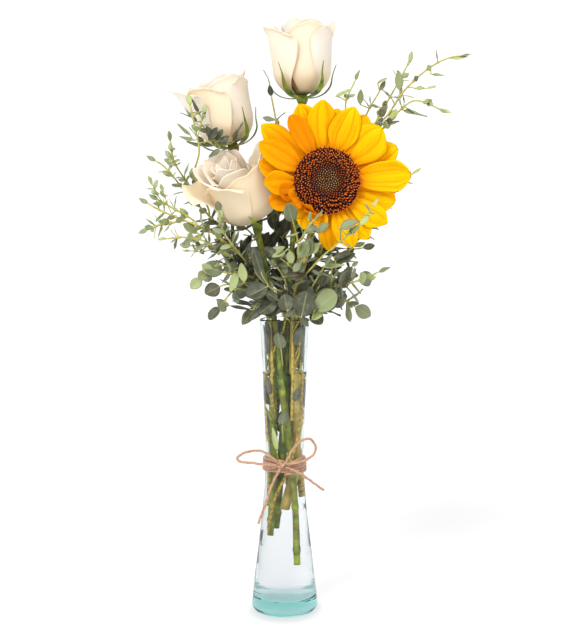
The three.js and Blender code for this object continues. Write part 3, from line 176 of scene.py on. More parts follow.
# Each branch: its stem from the cut end to the tip, with how many leaf pairs it has, and how long and how
# round these are from its foot to its tip. A twig's row: the share of the stem where it leaves, its points
# and its leaf pairs. A row of leaves is one leaf on a stalk: share of the stem, root, tip and width.
BRANCHES = [
    {
        "name": "eucalyptus_left", "seed": 21, "radius": 1.25,
        "pairs": 12, "sizes": [17, 8.5], "rounds": [0.85, 0.42],
        "path": [
            [-8.3, -7.6, 162], [-9.5, -8, 200], [-11.5, -6, 229], [-17, -9, 250], [-24, -13, 267],
            [-39, -18, 284], [-55, -22, 297], [-76, -24, 306], [-94, -21, 313.5], [-102, -19, 318],
        ],
        "leaves": [
            [0.5, [-46, -23, 267], [-60.7, -26, 271.5], 14],
            [0.47, [-48.2, -24, 256], [-59.3, -27, 251], 12.5],
            [0.77, [-64.8, -22, 296], [-75.6, -26, 303], 8],
            [0.37, [-22, -14, 240], [-31.9, -22, 227], 9],
        ],
        "twigs": [
            [0.86, [[-93, -26, 302], [-101, -26, 299]], 3, [9, 8.5], [0.6, 0.45]],
            [0.8, [[-86, -19, 316], [-95, -16, 321]], 3, [11, 8.5], [0.5, 0.45]],
            [0.6, [[-62, -27, 291], [-76, -30, 293], [-86, -30, 292]], 4, [13, 8.5], [0.62, 0.5]],
            [0.5, [[-50, -22, 272], [-62, -24, 262]], 3, [13, 11], [0.9, 0.8]],
            [0.42, [[-36, -20, 254], [-49, -21, 240]], 3, [14, 12], [0.95, 0.9]],
            [0.55, [[-45, -36, 298], [-47, -46, 312]], 2, [9.5, 9], [0.7, 0.6]],
        ],
    },
    {
        "name": "eucalyptus_upper_left", "seed": 34, "radius": 1.2,
        "pairs": 12, "sizes": [15, 8.5], "rounds": [0.75, 0.42],
        "path": [
            [-11.5, -5, 84], [-10.3, -2.1, 118], [-12, 2, 170], [-13, 3.5, 229], [-21, 12, 258],
            [-38, 20, 286], [-60, 20, 310], [-74, 12, 324], [-87, 2, 341], [-93, 0, 347.5],
            [-98, -1, 350.5],
        ],
        "leaves": [
            [0.56, [-23, 0, 264], [-29, -6, 286], 8.5],
        ],
        "twigs": [
            [0.8, [[-69, 5, 340], [-64, -13, 358], [-67, -17, 376], [-70, -17, 391]],
             5, [10, 9], [0.75, 0.5]],
            [0.84, [[-84, -2, 350], [-86, -8, 365]], 2, [9, 8.5], [0.5, 0.45]],
            [0.6, [[-56, 18, 284], [-74, 20, 286]], 3, [13, 9], [0.8, 0.6]],
            [0.55, [[-42, 28, 273], [-54, 33, 267]], 2, [14, 11], [0.85, 0.8]],
        ],
    },
    {
        "name": "eucalyptus_right", "seed": 55, "radius": 1.25,
        "pairs": 12, "sizes": [14, 9], "rounds": [0.7, 0.4],
        "path": [
            [8, 8.5, 88], [6, 8.7, 118], [7.5, 9.6, 170], [11, 9.5, 229], [20, 17, 262], [32, 20, 290],
            [50, 22, 335], [68, 20, 376], [79, 18, 386], [93, 16, 406], [108, 14, 420], [118, 12, 426.5],
            [127, 10, 430], [134, 9, 431],
        ],
        "twigs": [
            [0.76, [[87, 22, 410], [95, 17, 425]], 2, [13, 8], [0.45, 0.42]],
            [0.74, [[98, 12, 397], [108, 9, 396], [118, 7, 391]], 3, [13, 8], [0.4, 0.4]],
            [0.52, [[59, 26, 372], [64, 24, 388], [74, 20, 406]], 4, [9.5, 9], [0.5, 0.42]],
            [0.5, [[50, 12, 372], [47, 8, 395], [54, 4, 412]], 4, [9, 8.5], [0.6, 0.5]],
            [0.36, [[46, 24, 280], [62, 26, 284]], 3, [14, 10], [0.8, 0.6]],
        ],
    },
    {
        "name": "eucalyptus_low_right", "seed": 13, "radius": 1.2,
        "pairs": 9, "sizes": [20, 10], "rounds": [0.95, 0.45],
        "path": [
            [-11.5, -8, 66], [-7, -9.4, 90], [4.5, -9, 118], [10.3, -4.3, 152], [12.6, -3, 200],
            [13, -3, 229], [18, -7, 243], [28, -15, 252], [42, -24, 257], [56, -27, 261], [70, -28, 267],
        ],
        "leaves": [
            [0.74, [24.6, -20, 241.2], [41.8, -24, 246.7], 17],
            [0.7, [20.2, -17, 236.4], [28.5, -21, 227.5], 11],
            [0.78, [26, -21, 256], [33, -27, 268], 9],
            [0.84, [38.4, -30, 272.9], [52.5, -34, 281.1], 8],
        ],
        "twigs": [
            [0.72, [[44, -8, 276], [64, 0, 300], [86, 4, 333], [98, 3, 341]], 8, [14, 8], [0.5, 0.42]],
            [0.75, [[44, -16, 246], [54, -14, 240]], 2, [17, 14], [0.9, 0.8]],
        ],
    },
    {
        "name": "eucalyptus_front", "seed": 89, "radius": 1.2,
        "pairs": 8, "sizes": [19, 16], "rounds": [0.9, 0.68],
        "path": [
            [5.2, -10.5, 152], [6, -11, 200], [6, -10.5, 229], [7.5, -18, 248], [10.5, -26, 270],
            [10.5, -36, 284], [9, -44, 295], [6.5, -49, 304],
        ],
        "leaves": [
            [0.5, [-6, -19.5, 247.5], [-28.6, -26, 255], 14],
            [0.46, [-1, -21, 237.5], [2.8, -24, 253], 15],
            [0.52, [14, -21, 236], [18.4, -27, 257.7], 15],
            [0.6, [-12, -26, 257.4], [-22.7, -30, 273.4], 8],
            [0.72, [-2.4, -34, 277.2], [-14.8, -38, 285.9], 8],
            [0.78, [14, -36, 277.8], [20, -40, 292.8], 10],
        ],
        "twigs": [
            [0.9, [[16, -50, 299], [22, -56, 306]], 2, [11, 10], [0.6, 0.5]],
            [0.68, [[28, -38, 279], [42, -46, 291], [54, -52, 302]], 3, [10, 10], [0.55, 0.5]],
            [0.56, [[0, -26, 262], [-9, -32, 276]], 3, [14, 11], [0.7, 0.5]],
            [0.5, [[22, -24, 258], [30, -34, 272]], 3, [14, 12], [0.75, 0.6]],
        ],
    },
    {
        "name": "eucalyptus_back", "seed": 144, "radius": 1.25,
        "pairs": 7, "sizes": [17, 9], "rounds": [0.85, 0.5],
        "path": [
            [-4.5, 10.5, 90], [-5.6, 8.8, 118], [-3, 11.6, 170], [0, 13.6, 229], [-3, 21, 258],
            [-5, 28, 300], [-4, 26, 345], [-6, 14, 378], [-10, 4, 400],
        ],
        "twigs": [
            [0.56, [[-16, 36, 284], [-34, 44, 302], [-54, 50, 322]], 5, [14, 8], [0.7, 0.5]],
            [0.52, [[-14, 32, 260], [-28, 38, 258]], 3, [15, 12], [0.9, 0.8]],
            [0.7, [[6, 40, 334], [14, 48, 356]], 4, [10, 9], [0.6, 0.5]],
        ],
    },
    {
        "name": "eucalyptus_back_right", "seed": 233, "radius": 1.2,
        "pairs": 8, "sizes": [17, 9], "rounds": [0.85, 0.5],
        "path": [
            [1.5, 11.2, 98], [2.2, 10.3, 118], [3.6, 12, 170], [6, 13.4, 229], [13, 24, 254], [26, 36, 280],
            [42, 44, 312], [56, 47, 344],
        ],
        "twigs": [
            [0.6, [[32, 28, 262], [48, 26, 262]], 3, [15, 11], [0.85, 0.7]],
            [0.64, [[18, 42, 270], [22, 52, 286]], 3, [13, 10], [0.8, 0.6]],
            [0.58, [[26, 30, 248], [36, 36, 244]], 2, [16, 14], [0.9, 0.85]],
        ],
    },
]


# Numbers, vectors and lines


def mix(a, b, t):
    return a + (b - a) * t


def smooth(a, b, t):
    s = np.clip((t - a) / (b - a), 0, 1)
    return s * s * (3 - 2 * s)


def unit(vectors):
    vectors = np.asarray(vectors, float)
    return vectors / np.linalg.norm(vectors, axis=-1, keepdims=True)


def draws(seed):
    """A repeatable source of numbers from 0 to 1."""
    state = seed

    def draw():
        nonlocal state
        state = (1664525 * state + 1013904223) % 4294967296
        return state / 4294967296

    return draw


def turned(vector, axis, angle):
    """The vector turned about an axis by an angle in radians."""
    return np.array(Quaternion(Vector(axis), angle) @ Vector(vector))


def curve_point(points, place):
    """A point of the smooth curve through the points, where place runs from 0 to the last point's number."""
    last = len(points) - 1
    i = min(int(place), last - 1)
    t = place - i
    p1, p2 = points[i], points[i + 1]
    p0 = points[i - 1] if i > 0 else 2 * points[0] - points[1]
    p3 = points[i + 2] if i + 2 <= last else 2 * points[last] - points[last - 1]
    d0, d1, d2 = (math.sqrt(np.linalg.norm(b - a)) for a, b in ((p0, p1), (p1, p2), (p2, p3)))
    t1 = ((p1 - p0) / d0 - (p2 - p0) / (d0 + d1) + (p2 - p1) / d1) * d1
    t2 = ((p2 - p1) / d1 - (p3 - p1) / (d1 + d2) + (p3 - p2) / d2) * d1
    bend = -3 * p1 + 3 * p2 - 2 * t1 - t2
    return p1 + t * (t1 + t * (bend + t * (2 * p1 - 2 * p2 + t1 + t2)))


class Line:
    """A line of short straight steps along a smooth curve through points."""

    def __init__(self, points, per_span=12):
        points = [np.array(p, float) for p in points]
        steps = (len(points) - 1) * per_span
        self.points = np.array([curve_point(points, i / per_span) for i in range(steps + 1)])
        gaps = np.linalg.norm(np.diff(self.points, axis=0), axis=1)
        self.sums = np.concatenate([[0], np.cumsum(gaps)])
        self.length = self.sums[-1]

    def at(self, share):
        """The point and the direction at a share of the line's length."""
        want = share * self.length
        i = min(max(1, int(np.searchsorted(self.sums, want))), len(self.sums) - 1)
        t = (want - self.sums[i - 1]) / (self.sums[i] - self.sums[i - 1])
        return mix(self.points[i - 1], self.points[i], t), unit(self.points[i] - self.points[i - 1])

    def share_at_height(self, z):
        return self.sums[np.argmax(self.points[:, 2] >= z)] / self.length

    def even(self, step):
        """Points along the line, about a step apart."""
        shares = np.linspace(0, self.length, max(3, int(self.length / step) + 1))
        return np.stack([np.interp(shares, self.sums, self.points[:, k]) for k in range(3)], axis=1)


def perpendicular(along):
    reference = (0, -1, 0) if abs(along[2]) > 0.9 else (0, 0, 1)
    return unit(np.cross(along, reference))


def placement(base, axis):
    """Moves points from a frame at base, with +Z along axis, to the object's frame."""
    rotation = np.array(Vector((0, 0, 1)).rotation_difference(Vector(axis)).to_matrix())
    return lambda points: np.asarray(points) @ rotation.T + np.array(base, float)


def polar(angle, distance, across, up):
    """Points at a distance from +Z in a direction in radians, across to its side, and up."""
    x = distance * np.cos(angle) - across * np.sin(angle)
    y = distance * np.sin(angle) + across * np.cos(angle)
    return np.stack(np.broadcast_arrays(x, y, up), axis=-1)


def circle(sides):
    """Evenly spaced angles all round."""
    return 2 * np.pi * np.arange(sides) / sides


def outer_radius(z):
    return np.interp(z, *np.transpose(VASE["outer"]))


def inner_radius(z):
    return outer_radius(z) - VASE["wall"]


# Meshes


class Skin:
    """Collects surfaces for one piece. Each point has marks for its material: its share along and across its
    leaf or petal, and a tone of its own. Its back mark is 1 on a sheet's back face."""

    def __init__(self):
        self.points, self.faces, self.kinds, self.marks, self.backs = [], [], [], [], []
        self.count = 0

    def add(self, points, faces, along=0.0, across=0.0, tone=0.5, back=0.0, kind=0):
        """Adds points and lists of quads or triangles between them. kind is the number of their material."""
        n = len(points)
        for group in faces:
            self.faces += (np.asarray(group) + self.count).tolist()
            self.kinds += [kind] * len(group)
        self.points.append(np.asarray(points, float))
        self.marks.append(np.stack([np.broadcast_to(m, n) for m in (along, across, tone)], axis=1))
        self.backs.append(np.broadcast_to(back, n))
        self.count += n

    def sheet(self, grid, thick, along, across, tone, kind=0):
        """A closed thin sheet over a grid of points, whose two faces meet at its edges."""
        rows, cols = grid.shape[:2]
        normals = unit(np.cross(np.gradient(grid, axis=1), np.gradient(grid, axis=0)))
        half = normals[1:-1, 1:-1] * thick / 2
        front = grid.copy()
        front[1:-1, 1:-1] += half
        behind = grid[1:-1, 1:-1] - half
        face = np.arange(rows * cols).reshape(rows, cols)
        rear = face.copy()
        rear[1:-1, 1:-1] = rows * cols + np.arange((rows - 2) * (cols - 2)).reshape(rows - 2, cols - 2)
        along, across = np.broadcast_to(along, (rows, cols)), np.broadcast_to(across, (rows, cols))
        self.add(
            np.concatenate([front.reshape(-1, 3), behind.reshape(-1, 3)]),
            [quads(face), quads(rear)[:, ::-1]],
            np.concatenate([along.ravel(), along[1:-1, 1:-1].ravel()]),
            np.concatenate([across.ravel(), across[1:-1, 1:-1].ravel()]),
            tone,
            np.concatenate([np.zeros(rows * cols), np.ones((rows - 2) * (cols - 2))]),
            kind,
        )

    def closed(self, rings, poles, tone, kind=0, along=(0.0, 1.0), place=np.asarray):
        """Rings of points joined to a closed surface, with a point at each end. tone is a number, or one for
        each ring."""
        steps, sides = rings.shape[:2]
        index = np.arange(steps * sides).reshape(steps, sides)
        index = np.concatenate([index, index[:, :1]], axis=1)
        low, high = steps * sides, steps * sides + 1
        ends = [[low, b, a] for a, b in zip(index[0], index[0, 1:])]
        ends += [[high, a, b] for a, b in zip(index[-1], index[-1, 1:])]
        tones = np.broadcast_to(tone, steps)
        self.add(
            place(np.concatenate([rings.reshape(-1, 3), poles])),
            [quads(index), ends],
            np.concatenate([np.repeat(np.linspace(*along, steps), sides), along]),
            np.concatenate([np.tile(circle(sides) / np.pi - 1, steps), [0, 0]]),
            np.concatenate([np.repeat(tones, sides), tones[[0, -1]]]),
            kind=kind,
        )

    def tube(self, centres, radii, sides, tone=0.5, kind=0, along=(0.0, 1.0)):
        """A closed tube along points. radii is one for all, one for each, or one for each and each side."""
        side, up = frames_along(centres)
        angles = circle(sides)[:, None]
        ring = np.cos(angles) * side[:, None] + np.sin(angles) * up[:, None]
        radii = np.asarray(radii, float)
        radii = radii.reshape(radii.shape + (1,) * (2 - radii.ndim))
        wall = centres[:, None] + ring * np.broadcast_to(radii, (len(centres), sides))[..., None]
        self.closed(wall, centres[[0, -1]], tone, kind, along)

    def lathe(self, profile, sides, place=np.asarray, tone=0.5, wobble=None):
        """A surface turned about +Z from rows of radius and height, whose first and last lie on the axis."""
        profile = np.asarray(profile, float)
        angles, heights = circle(sides), profile[1:-1, 1:]
        radii = np.repeat(profile[1:-1, :1], sides, axis=1)
        if wobble:
            radii = radii + wobble(heights, angles)
        poles = [[0, 0, profile[0, 1]], [0, 0, profile[-1, 1]]]
        self.closed(polar(angles, radii, 0, heights), poles, tone, place=place)

    def piece(self, name, materials, nodes=()):
        """Makes the Blender object, which stands for the CAD nodes that it replaces."""
        mesh = bpy.data.meshes.new(name)
        mesh.from_pydata((np.concatenate(self.points) * MM).tolist(), [], self.faces)
        mesh.polygons.foreach_set("material_index", self.kinds)
        mesh.polygons.foreach_set("use_smooth", [True] * len(self.faces))
        marks = mesh.attributes.new("marks", "FLOAT_VECTOR", "POINT")
        marks.data.foreach_set("vector", np.concatenate(self.marks).ravel())
        backs = mesh.attributes.new("back", "FLOAT", "POINT")
        backs.data.foreach_set("value", np.concatenate(self.backs))
        for material in materials:
            mesh.materials.append(material)
        mesh.update()
        obj = bpy.data.objects.new(name, mesh)
        bpy.context.collection.objects.link(obj)
        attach(obj, "root")
        if nodes:
            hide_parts(*nodes)
        return obj


def quads(index):
    """The quads of a grid of point numbers."""
    corners = index[:-1, :-1], index[:-1, 1:], index[1:, 1:], index[1:, :-1]
    return np.stack([c.ravel() for c in corners], axis=1)


def frames_along(centres):
    """Two directions across the line at each of its points, turning as little as they can along it."""
    tangents = unit(np.gradient(centres, axis=0))
    side = perpendicular(tangents[0])
    sides = []
    for tangent in tangents:
        side = unit(side - tangent * side.dot(tangent))
        sides.append(side)
    sides = np.array(sides)
    return sides, np.cross(tangents, sides)


# Materials

WHITE = (1.0, 1.0, 1.0, 1.0)
# Dims what clear surfaces mirror where they are seen head on. Their edges mirror all of it.
HEAD_ON_GLOSS = (0.35, 0.35, 0.35, 1.0)


def srgb(text):
    """A shader colour from a hex colour as it shows."""
    channels = [int(text[i : i + 2], 16) / 255 for i in (1, 3, 5)]
    return [c / 12.92 if c <= 0.04045 else ((c + 0.055) / 1.055) ** 2.4 for c in channels] + [1.0]


class Nodes:
    """A node tree that is filled by short calls. All but node and parts return the new node's output."""

    def __init__(self, tree):
        self.tree = tree
        self.tree.nodes.clear()

    def node(self, kind, inputs=(), **settings):
        """A shader node with its settings, and its inputs set or linked."""
        made = self.tree.nodes.new("ShaderNode" + kind)
        for key, value in settings.items():
            setattr(made, key, value)
        for key, value in dict(inputs).items():
            if isinstance(value, bpy.types.NodeSocket):
                self.tree.links.new(value, made.inputs[key])
            else:
                made.inputs[key].default_value = value
        return made

    def math(self, operation, a, b=0.0):
        return self.node("Math", {0: a, 1: b}, operation=operation).outputs[0]

    def times(self, a, b):
        return self.math("MULTIPLY", a, b)

    def plus(self, a, b):
        return self.math("ADD", a, b)

    def absolute(self, a):
        return self.math("ABSOLUTE", a)

    def vector(self, x, y=0.0, z=0.0):
        return self.node("CombineXYZ", {0: x, 1: y, 2: z}).outputs[0]

    def parts(self, vector):
        """A vector's three numbers."""
        return self.node("SeparateXYZ", {0: vector}).outputs


class Graph(Nodes):
    """A material's nodes, and the marks of the meshes that have it."""

    def __init__(self, name):
        self.material = bpy.data.materials.new(name)
        self.material.use_nodes = True
        super().__init__(self.material.node_tree)
        marks = self.node("Attribute", attribute_name="marks").outputs["Vector"]
        self.along, self.across, self.tone = self.parts(marks)
        self.place = self.node("TexCoord").outputs["Object"]

    def back(self):
        return self.node("Attribute", attribute_name="back").outputs["Fac"]

    def mixed(self, factor, a, b):
        return self.node("Mix", {0: factor, 6: a, 7: b}, data_type="RGBA").outputs[2]

    def layered(self, colour, layers):
        """The colour with others over it, from rows of their share and hex colour."""
        for share, layer in layers:
            colour = self.mixed(share, colour, srgb(layer))
        return colour

    def spread(self, value, low, high, to_low=0.0, to_high=1.0):
        inputs = {0: value, 1: low, 2: high, 3: to_low, 4: to_high}
        return self.node("MapRange", inputs, interpolation_type="SMOOTHSTEP").outputs[0]

    def noise(self, scale, detail=3.0, rough=0.5, vector=None):
        inputs = {"Vector": vector or self.place, "Scale": scale, "Detail": detail, "Roughness": rough}
        return self.node("TexNoise", inputs).outputs[0]

    def ramp(self, value, stops):
        """A colour ramp from rows of place and hex colour."""
        made = self.node("ValToRGB", {0: value})
        elements = made.color_ramp.elements
        while len(elements) < len(stops):
            elements.new(0.5)
        for element, (place, colour) in zip(elements, stops):
            element.position = place
            element.color = srgb(colour)
        return made.outputs[0]

    def bump(self, height, strength, distance):
        inputs = {"Height": height, "Strength": strength, "Distance": distance}
        return self.node("Bump", inputs).outputs[0]

    def surface(self, colour, roughness, more=(), normal=None):
        """The main shader, with more inputs by name."""
        inputs = {"Base Color": colour, "Roughness": roughness, **dict(more)}
        if normal:
            inputs["Normal"] = normal
        return self.node("BsdfPrincipled", inputs).outputs[0]

    def lets_through(self, shader, colour, tint, share):
        """The shader with a share of the light that reaches its other side, half in the tint."""
        through = self.node("BsdfTranslucent", {"Color": self.mixed(0.5, colour, srgb(tint))}).outputs[0]
        return self.node("MixShader", {0: share, 1: shader, 2: through}).outputs[0]

    def lit_inside(self, shader, tint):
        """A clear shader that lets lamps and soft light straight through, so that what it holds is lit."""
        path = self.node("LightPath").outputs
        soft = self.math("MAXIMUM", path["Is Shadow Ray"], path["Is Diffuse Ray"])
        clear = self.node("BsdfTransparent", {"Color": srgb(tint)}).outputs[0]
        return self.node("MixShader", {0: soft, 1: shader, 2: clear}).outputs[0]

    def done(self, surface, volume=None):
        inputs = {"Surface": surface}
        if volume:
            inputs["Volume"] = volume
        self.node("OutputMaterial", inputs)
        return self.material


def clear_material(g, ior, roughness, normal, colour, density, tint):
    """A clear solid: the colour that light takes on inside it, and the tint of what it lets through."""
    more = {"IOR": ior, "Transmission Weight": 1.0, "Specular Tint": HEAD_ON_GLOSS}
    shader = g.surface(WHITE, roughness, more, normal)
    volume = g.node("VolumeAbsorption", {"Color": srgb(colour), "Density": density}).outputs[0]
    return g.done(g.lit_inside(shader, tint), volume)


def glass_material():
    """Recycled glass with shallow waves, and streaks in its thick base."""
    g = Graph("recycled_glass")
    x, y, z = g.parts(g.place)
    layers = g.vector(g.times(x, 26.0), g.times(y, 26.0), g.times(z, 210.0))
    streaks = g.times(g.noise(1.0, 2.0, 0.5, layers), g.spread(z, 0.011, 0.02, 1.0, 0.0))
    waves = g.bump(g.plus(g.noise(38, 1.5), g.times(streaks, 2.2)), 0.35, 0.0012)
    return clear_material(g, 1.46, 0.01, waves, "#9af0ec", 31.0, "#fffafa")


def water_material():
    return clear_material(Graph("water"), 1.33, 0.0, None, "#e4dee4", 23.0, "#ffffff")


def jute_material():
    g = Graph("jute")
    fibres = g.noise(900, 4.0, 0.7)
    colour = g.ramp(fibres, [(0.28, "#4f3421"), (0.47, "#a67856"), (0.75, "#e2ba9a")])
    colour = g.layered(colour, [(g.spread(g.noise(160, 2.0), 0.35, 0.7), "#b58f74")])
    sheen = {"Sheen Weight": 0.35, "Sheen Roughness": 0.5}
    return g.done(g.surface(colour, 0.85, sheen, g.bump(fibres, 0.8, 0.0004)))


def cream_material():
    """Cream petals: peach at the root, creamy white above, with a faint pink and green on the rim, and
    painted shade along their side edges.
    """
    g = Graph("cream_petal")
    streaks = g.noise(3.0, 4.0, 0.6, g.vector(g.times(g.across, 5.0), g.along, g.tone))
    blush = g.noise(55, 2.0)
    stops = [(0.0, "#dcd69a"), (0.1, "#f6dcae"), (0.3, "#fdf3e0"), (0.55, "#fffcf6"), (1.0, "#fffcf8")]
    rim = g.times(g.spread(g.along, 0.9, 1.0), g.spread(blush, 0.45, 0.65))
    layers = [
        (g.times(rim, 0.4), "#f0d0ae"),
        # Painted shade: the petals' side edges are painted a darker peach, for the shade where they overlap.
        (g.spread(g.absolute(g.across), 0.9, 1.0, 0.0, 0.4), "#ecd0a8"),
        (g.spread(streaks, 0.4, 0.75, 0.0, 0.16), "#f6e2c6"),
        (g.spread(g.tone, 0.0, 1.0, 0.0, 0.25), "#faead2"),
        (g.spread(g.tone, 0.7, 1.5, 0.0, 0.85), "#ffeecb"),
    ]
    colour = g.layered(g.ramp(g.along, stops), layers)
    soft = {
        "Subsurface Weight": 0.1,
        "Subsurface Radius": (0.006, 0.0052, 0.0044),
        "Subsurface Scale": 1.0,
        "Sheen Weight": 0.15,
    }
    shader = g.surface(colour, 0.48, soft, g.bump(g.plus(streaks, g.times(blush, 0.6)), 0.18, 0.0006))
    return g.done(g.lets_through(shader, colour, "#fff4da", 0.3))


def ray_material():
    """Golden ray petals with orange roots, long fine ribs and two grooves, with painted shade in the grooves
    and on shaded petals.
    """
    g = Graph("sunflower_ray")
    stretched = g.vector(g.times(g.across, 2.6), g.times(g.along, 0.35), g.times(g.tone, 9.0))
    ribs = g.noise(2.2, 3.0, 0.65, stretched)
    # Painted shade: the petals are painted a deeper orange along their two grooves.
    from_shaded_groove = g.absolute(g.plus(g.absolute(g.across), -GROOVE))
    layers = [
        (g.spread(ribs, 0.48, 0.64, 0.0, 0.6), "#f89600"),
        (g.spread(from_shaded_groove, 0.0, 0.14, 0.5, 0.0), "#f28a00"),
        # Partly painted shade: a high tone paints shaded petals a deeper orange, and the random part of the
        # tone adds a little.
        (g.spread(g.tone, 0.3, 1.0, 0.0, 0.85), "#f08a00"),
        (g.times(g.back(), 0.25), "#f2a71c"),
    ]
    stops = [(0.0, "#a84400"), (0.13, "#ef8a00"), (0.36, "#ffc600"), (1.0, "#ffde00")]
    colour = g.layered(g.ramp(g.along, stops), layers)
    soft = {
        "Specular IOR Level": 0.02,
        "Subsurface Weight": 0.12,
        "Subsurface Radius": (0.003, 0.0015, 0.0004),
        "Subsurface Scale": 1.0,
    }
    shader = g.surface(colour, 0.65, soft, g.bump(ribs, 0.45, 0.0008))
    return g.done(g.lets_through(shader, colour, "#ffa000", 0.25))


def disc_material():
    """Florets: along is the share of a floret's height, tone the share of the disc's radius."""
    g = Graph("sunflower_disc")
    outer = g.ramp(g.along, [(0.0, "#2a0c04"), (0.4, "#7c2a0c"), (0.75, "#c84e12"), (1.0, "#f48c32")])
    middle = g.ramp(g.along, [(0.0, "#240c05"), (0.6, "#70300f"), (1.0, "#c0581c")])
    inner = g.ramp(g.along, [(0.0, "#3a200c"), (0.6, "#8a5a22"), (1.0, "#c89448")])
    colour = g.mixed(g.spread(g.tone, 0.28, 0.4), inner, middle)
    colour = g.mixed(g.spread(g.tone, 0.5, 0.68), colour, outer)
    speckle = g.spread(g.noise(420, 2.0), 0.46, 0.66, 0.0, 0.6)
    colour = g.layered(colour, [(speckle, "#2c1008"), (g.spread(g.tone, 1.2, 1.4), "#260c06")])
    return g.done(g.surface(colour, 0.75, {"Specular IOR Level": 0.3}))


def stem_material(name, dark, mid, light, bark):
    """A fresh stem or sepal: mottled green that turns to a bark colour in patches and at its nodes."""
    g = Graph(name)
    mottle = g.noise(140, 3.0)
    patches = g.spread(g.noise(36, 2.0), 0.5, 0.68, 0.0, 0.8)
    colour = g.ramp(mottle, [(0.3, dark), (0.52, mid), (0.75, light)])
    colour = g.layered(colour, [(patches, bark), (g.spread(g.tone, 0.6, 1.0), bark)])
    return g.done(g.surface(colour, 0.5, normal=g.bump(mottle, 0.35, 0.0008)))


def leaf_material():
    """Grey-green leaves with a pale midrib, veins and dry patches. Tone 0 is dark grey, 1 is light green."""
    g = Graph("eucalyptus_leaf")
    edge = g.absolute(g.across)
    midrib = g.spread(edge, 0.02, 0.11, 1.0, 0.0)
    slant = g.plus(g.times(g.along, 22.0), g.times(edge, -7.0))
    veins = g.spread(g.absolute(g.math("SINE", slant)), 0.0, 0.16, 1.0, 0.0)
    dry = g.noise(1.0, 1.0, 0.5, g.vector(g.times(g.tone, 70.0)))
    layers = [
        (g.spread(g.noise(190, 3.0), 0.42, 0.75, 0.0, 0.35), "#979c80"),
        (g.spread(dry, 0.5, 0.62, 0.0, 0.4), "#6e5d3e"),
        (g.times(veins, 0.2), "#a3aa82"),
        (g.times(midrib, 0.32), "#b9bf8a"),
        (g.spread(edge, 0.93, 1.0, 0.0, 0.35), "#9a8a63"),
        (g.times(g.back(), 0.5), "#8f9a80"),
    ]
    stops = [(0.0, "#24241a"), (0.25, "#4d513b"), (0.5, "#767d59"), (0.75, "#9ba872"), (1.0, "#bdca80")]
    colour = g.layered(g.ramp(g.tone, stops), layers)
    bumps = g.bump(g.plus(midrib, g.times(veins, 0.5)), 0.4, 0.0003)
    shader = g.surface(colour, 0.55, {"Sheen Weight": 0.15}, bumps)
    return g.done(g.lets_through(shader, colour, "#9fb04a", 0.16))


def twig_material():
    """Eucalyptus stems: brown and knobbly low down, yellow-olive twigs, as tone runs from 0 to 1."""
    g = Graph("eucalyptus_twig")
    grain = g.noise(260, 3.0)
    rings = g.absolute(g.math("SINE", g.plus(g.times(g.along, 0.7), g.times(grain, 7.0))))
    old = g.spread(g.tone, 0.2, 0.7, 1.0, 0.0)
    layers = [
        (g.times(old, g.spread(rings, 0.15, 0.8, 0.75, 0.0)), "#4e381a"),
        (g.spread(grain, 0.42, 0.75, 0.0, 0.5), "#6d5a2c"),
    ]
    colour = g.layered(g.ramp(g.tone, [(0.0, "#ae9430"), (0.5, "#bba63e"), (1.0, "#b4b05a")]), layers)
    return g.done(g.surface(colour, 0.6, normal=g.bump(grain, 0.5, 0.0006)))


def floor_material():
    """White, with a painted shadow: a little darker where the vase's foot stands and just in front of it."""
    g = Graph("studio_floor")
    x, y, _ = g.parts(g.place)
    # Painted shadow: the floor is painted darker up to 20 mm from a point 6 mm in front of the vase's axis,
    # fading out by 38 mm.
    before = g.plus(y, 0.006)
    out = g.math("SQRT", g.plus(g.times(x, x), g.times(before, before)))
    colour = g.mixed(g.spread(out, 0.02, 0.038, 1.0, 0.0), srgb("#f3f3f3"), srgb("#d6d6d6"))
    return g.done(g.surface(colour, 0.4, {"Specular IOR Level": 0.3}))


# Camera, light and floor

CAMERA_PLACE = (0.005, -0.825, 0.301)
CAMERA_TILT = 85
CAMERA_LENS = 60.1875
EXPOSURE = 0.33
BACKGROUND = 0.9
ROOM_LIGHT = 0.7
ROOM_GLOSS = 0.5
ROOM_SIDES = 0.3
FLOOR_Z = 0.0002
# Each lamp: its name, where its light comes from, the angle in degrees that it fills, and its strength.
LAMPS = [
    ["key_light", (-0.55, -0.85, 0.86), 28, 1.88],
    ["fill_light", (0.9, -0.7, 0.45), 40, 0.5],
]


def make_camera():
    camera = bpy.data.objects.new("camera", bpy.data.cameras.new("camera"))
    camera.location = CAMERA_PLACE
    camera.rotation_euler = (math.radians(CAMERA_TILT), 0, 0)
    camera.data.lens = CAMERA_LENS
    bpy.context.collection.objects.link(camera)
    bpy.context.scene.camera = camera


def make_lamp(name, toward, angle, strength):
    """A wide soft light from a direction."""
    sun = bpy.data.objects.new(name, bpy.data.lights.new(name, "SUN"))
    sun.data.angle = math.radians(angle)
    sun.data.energy = strength
    sun.rotation_euler = Vector(toward).to_track_quat("Z", "Y").to_euler()
    bpy.context.collection.objects.link(sun)


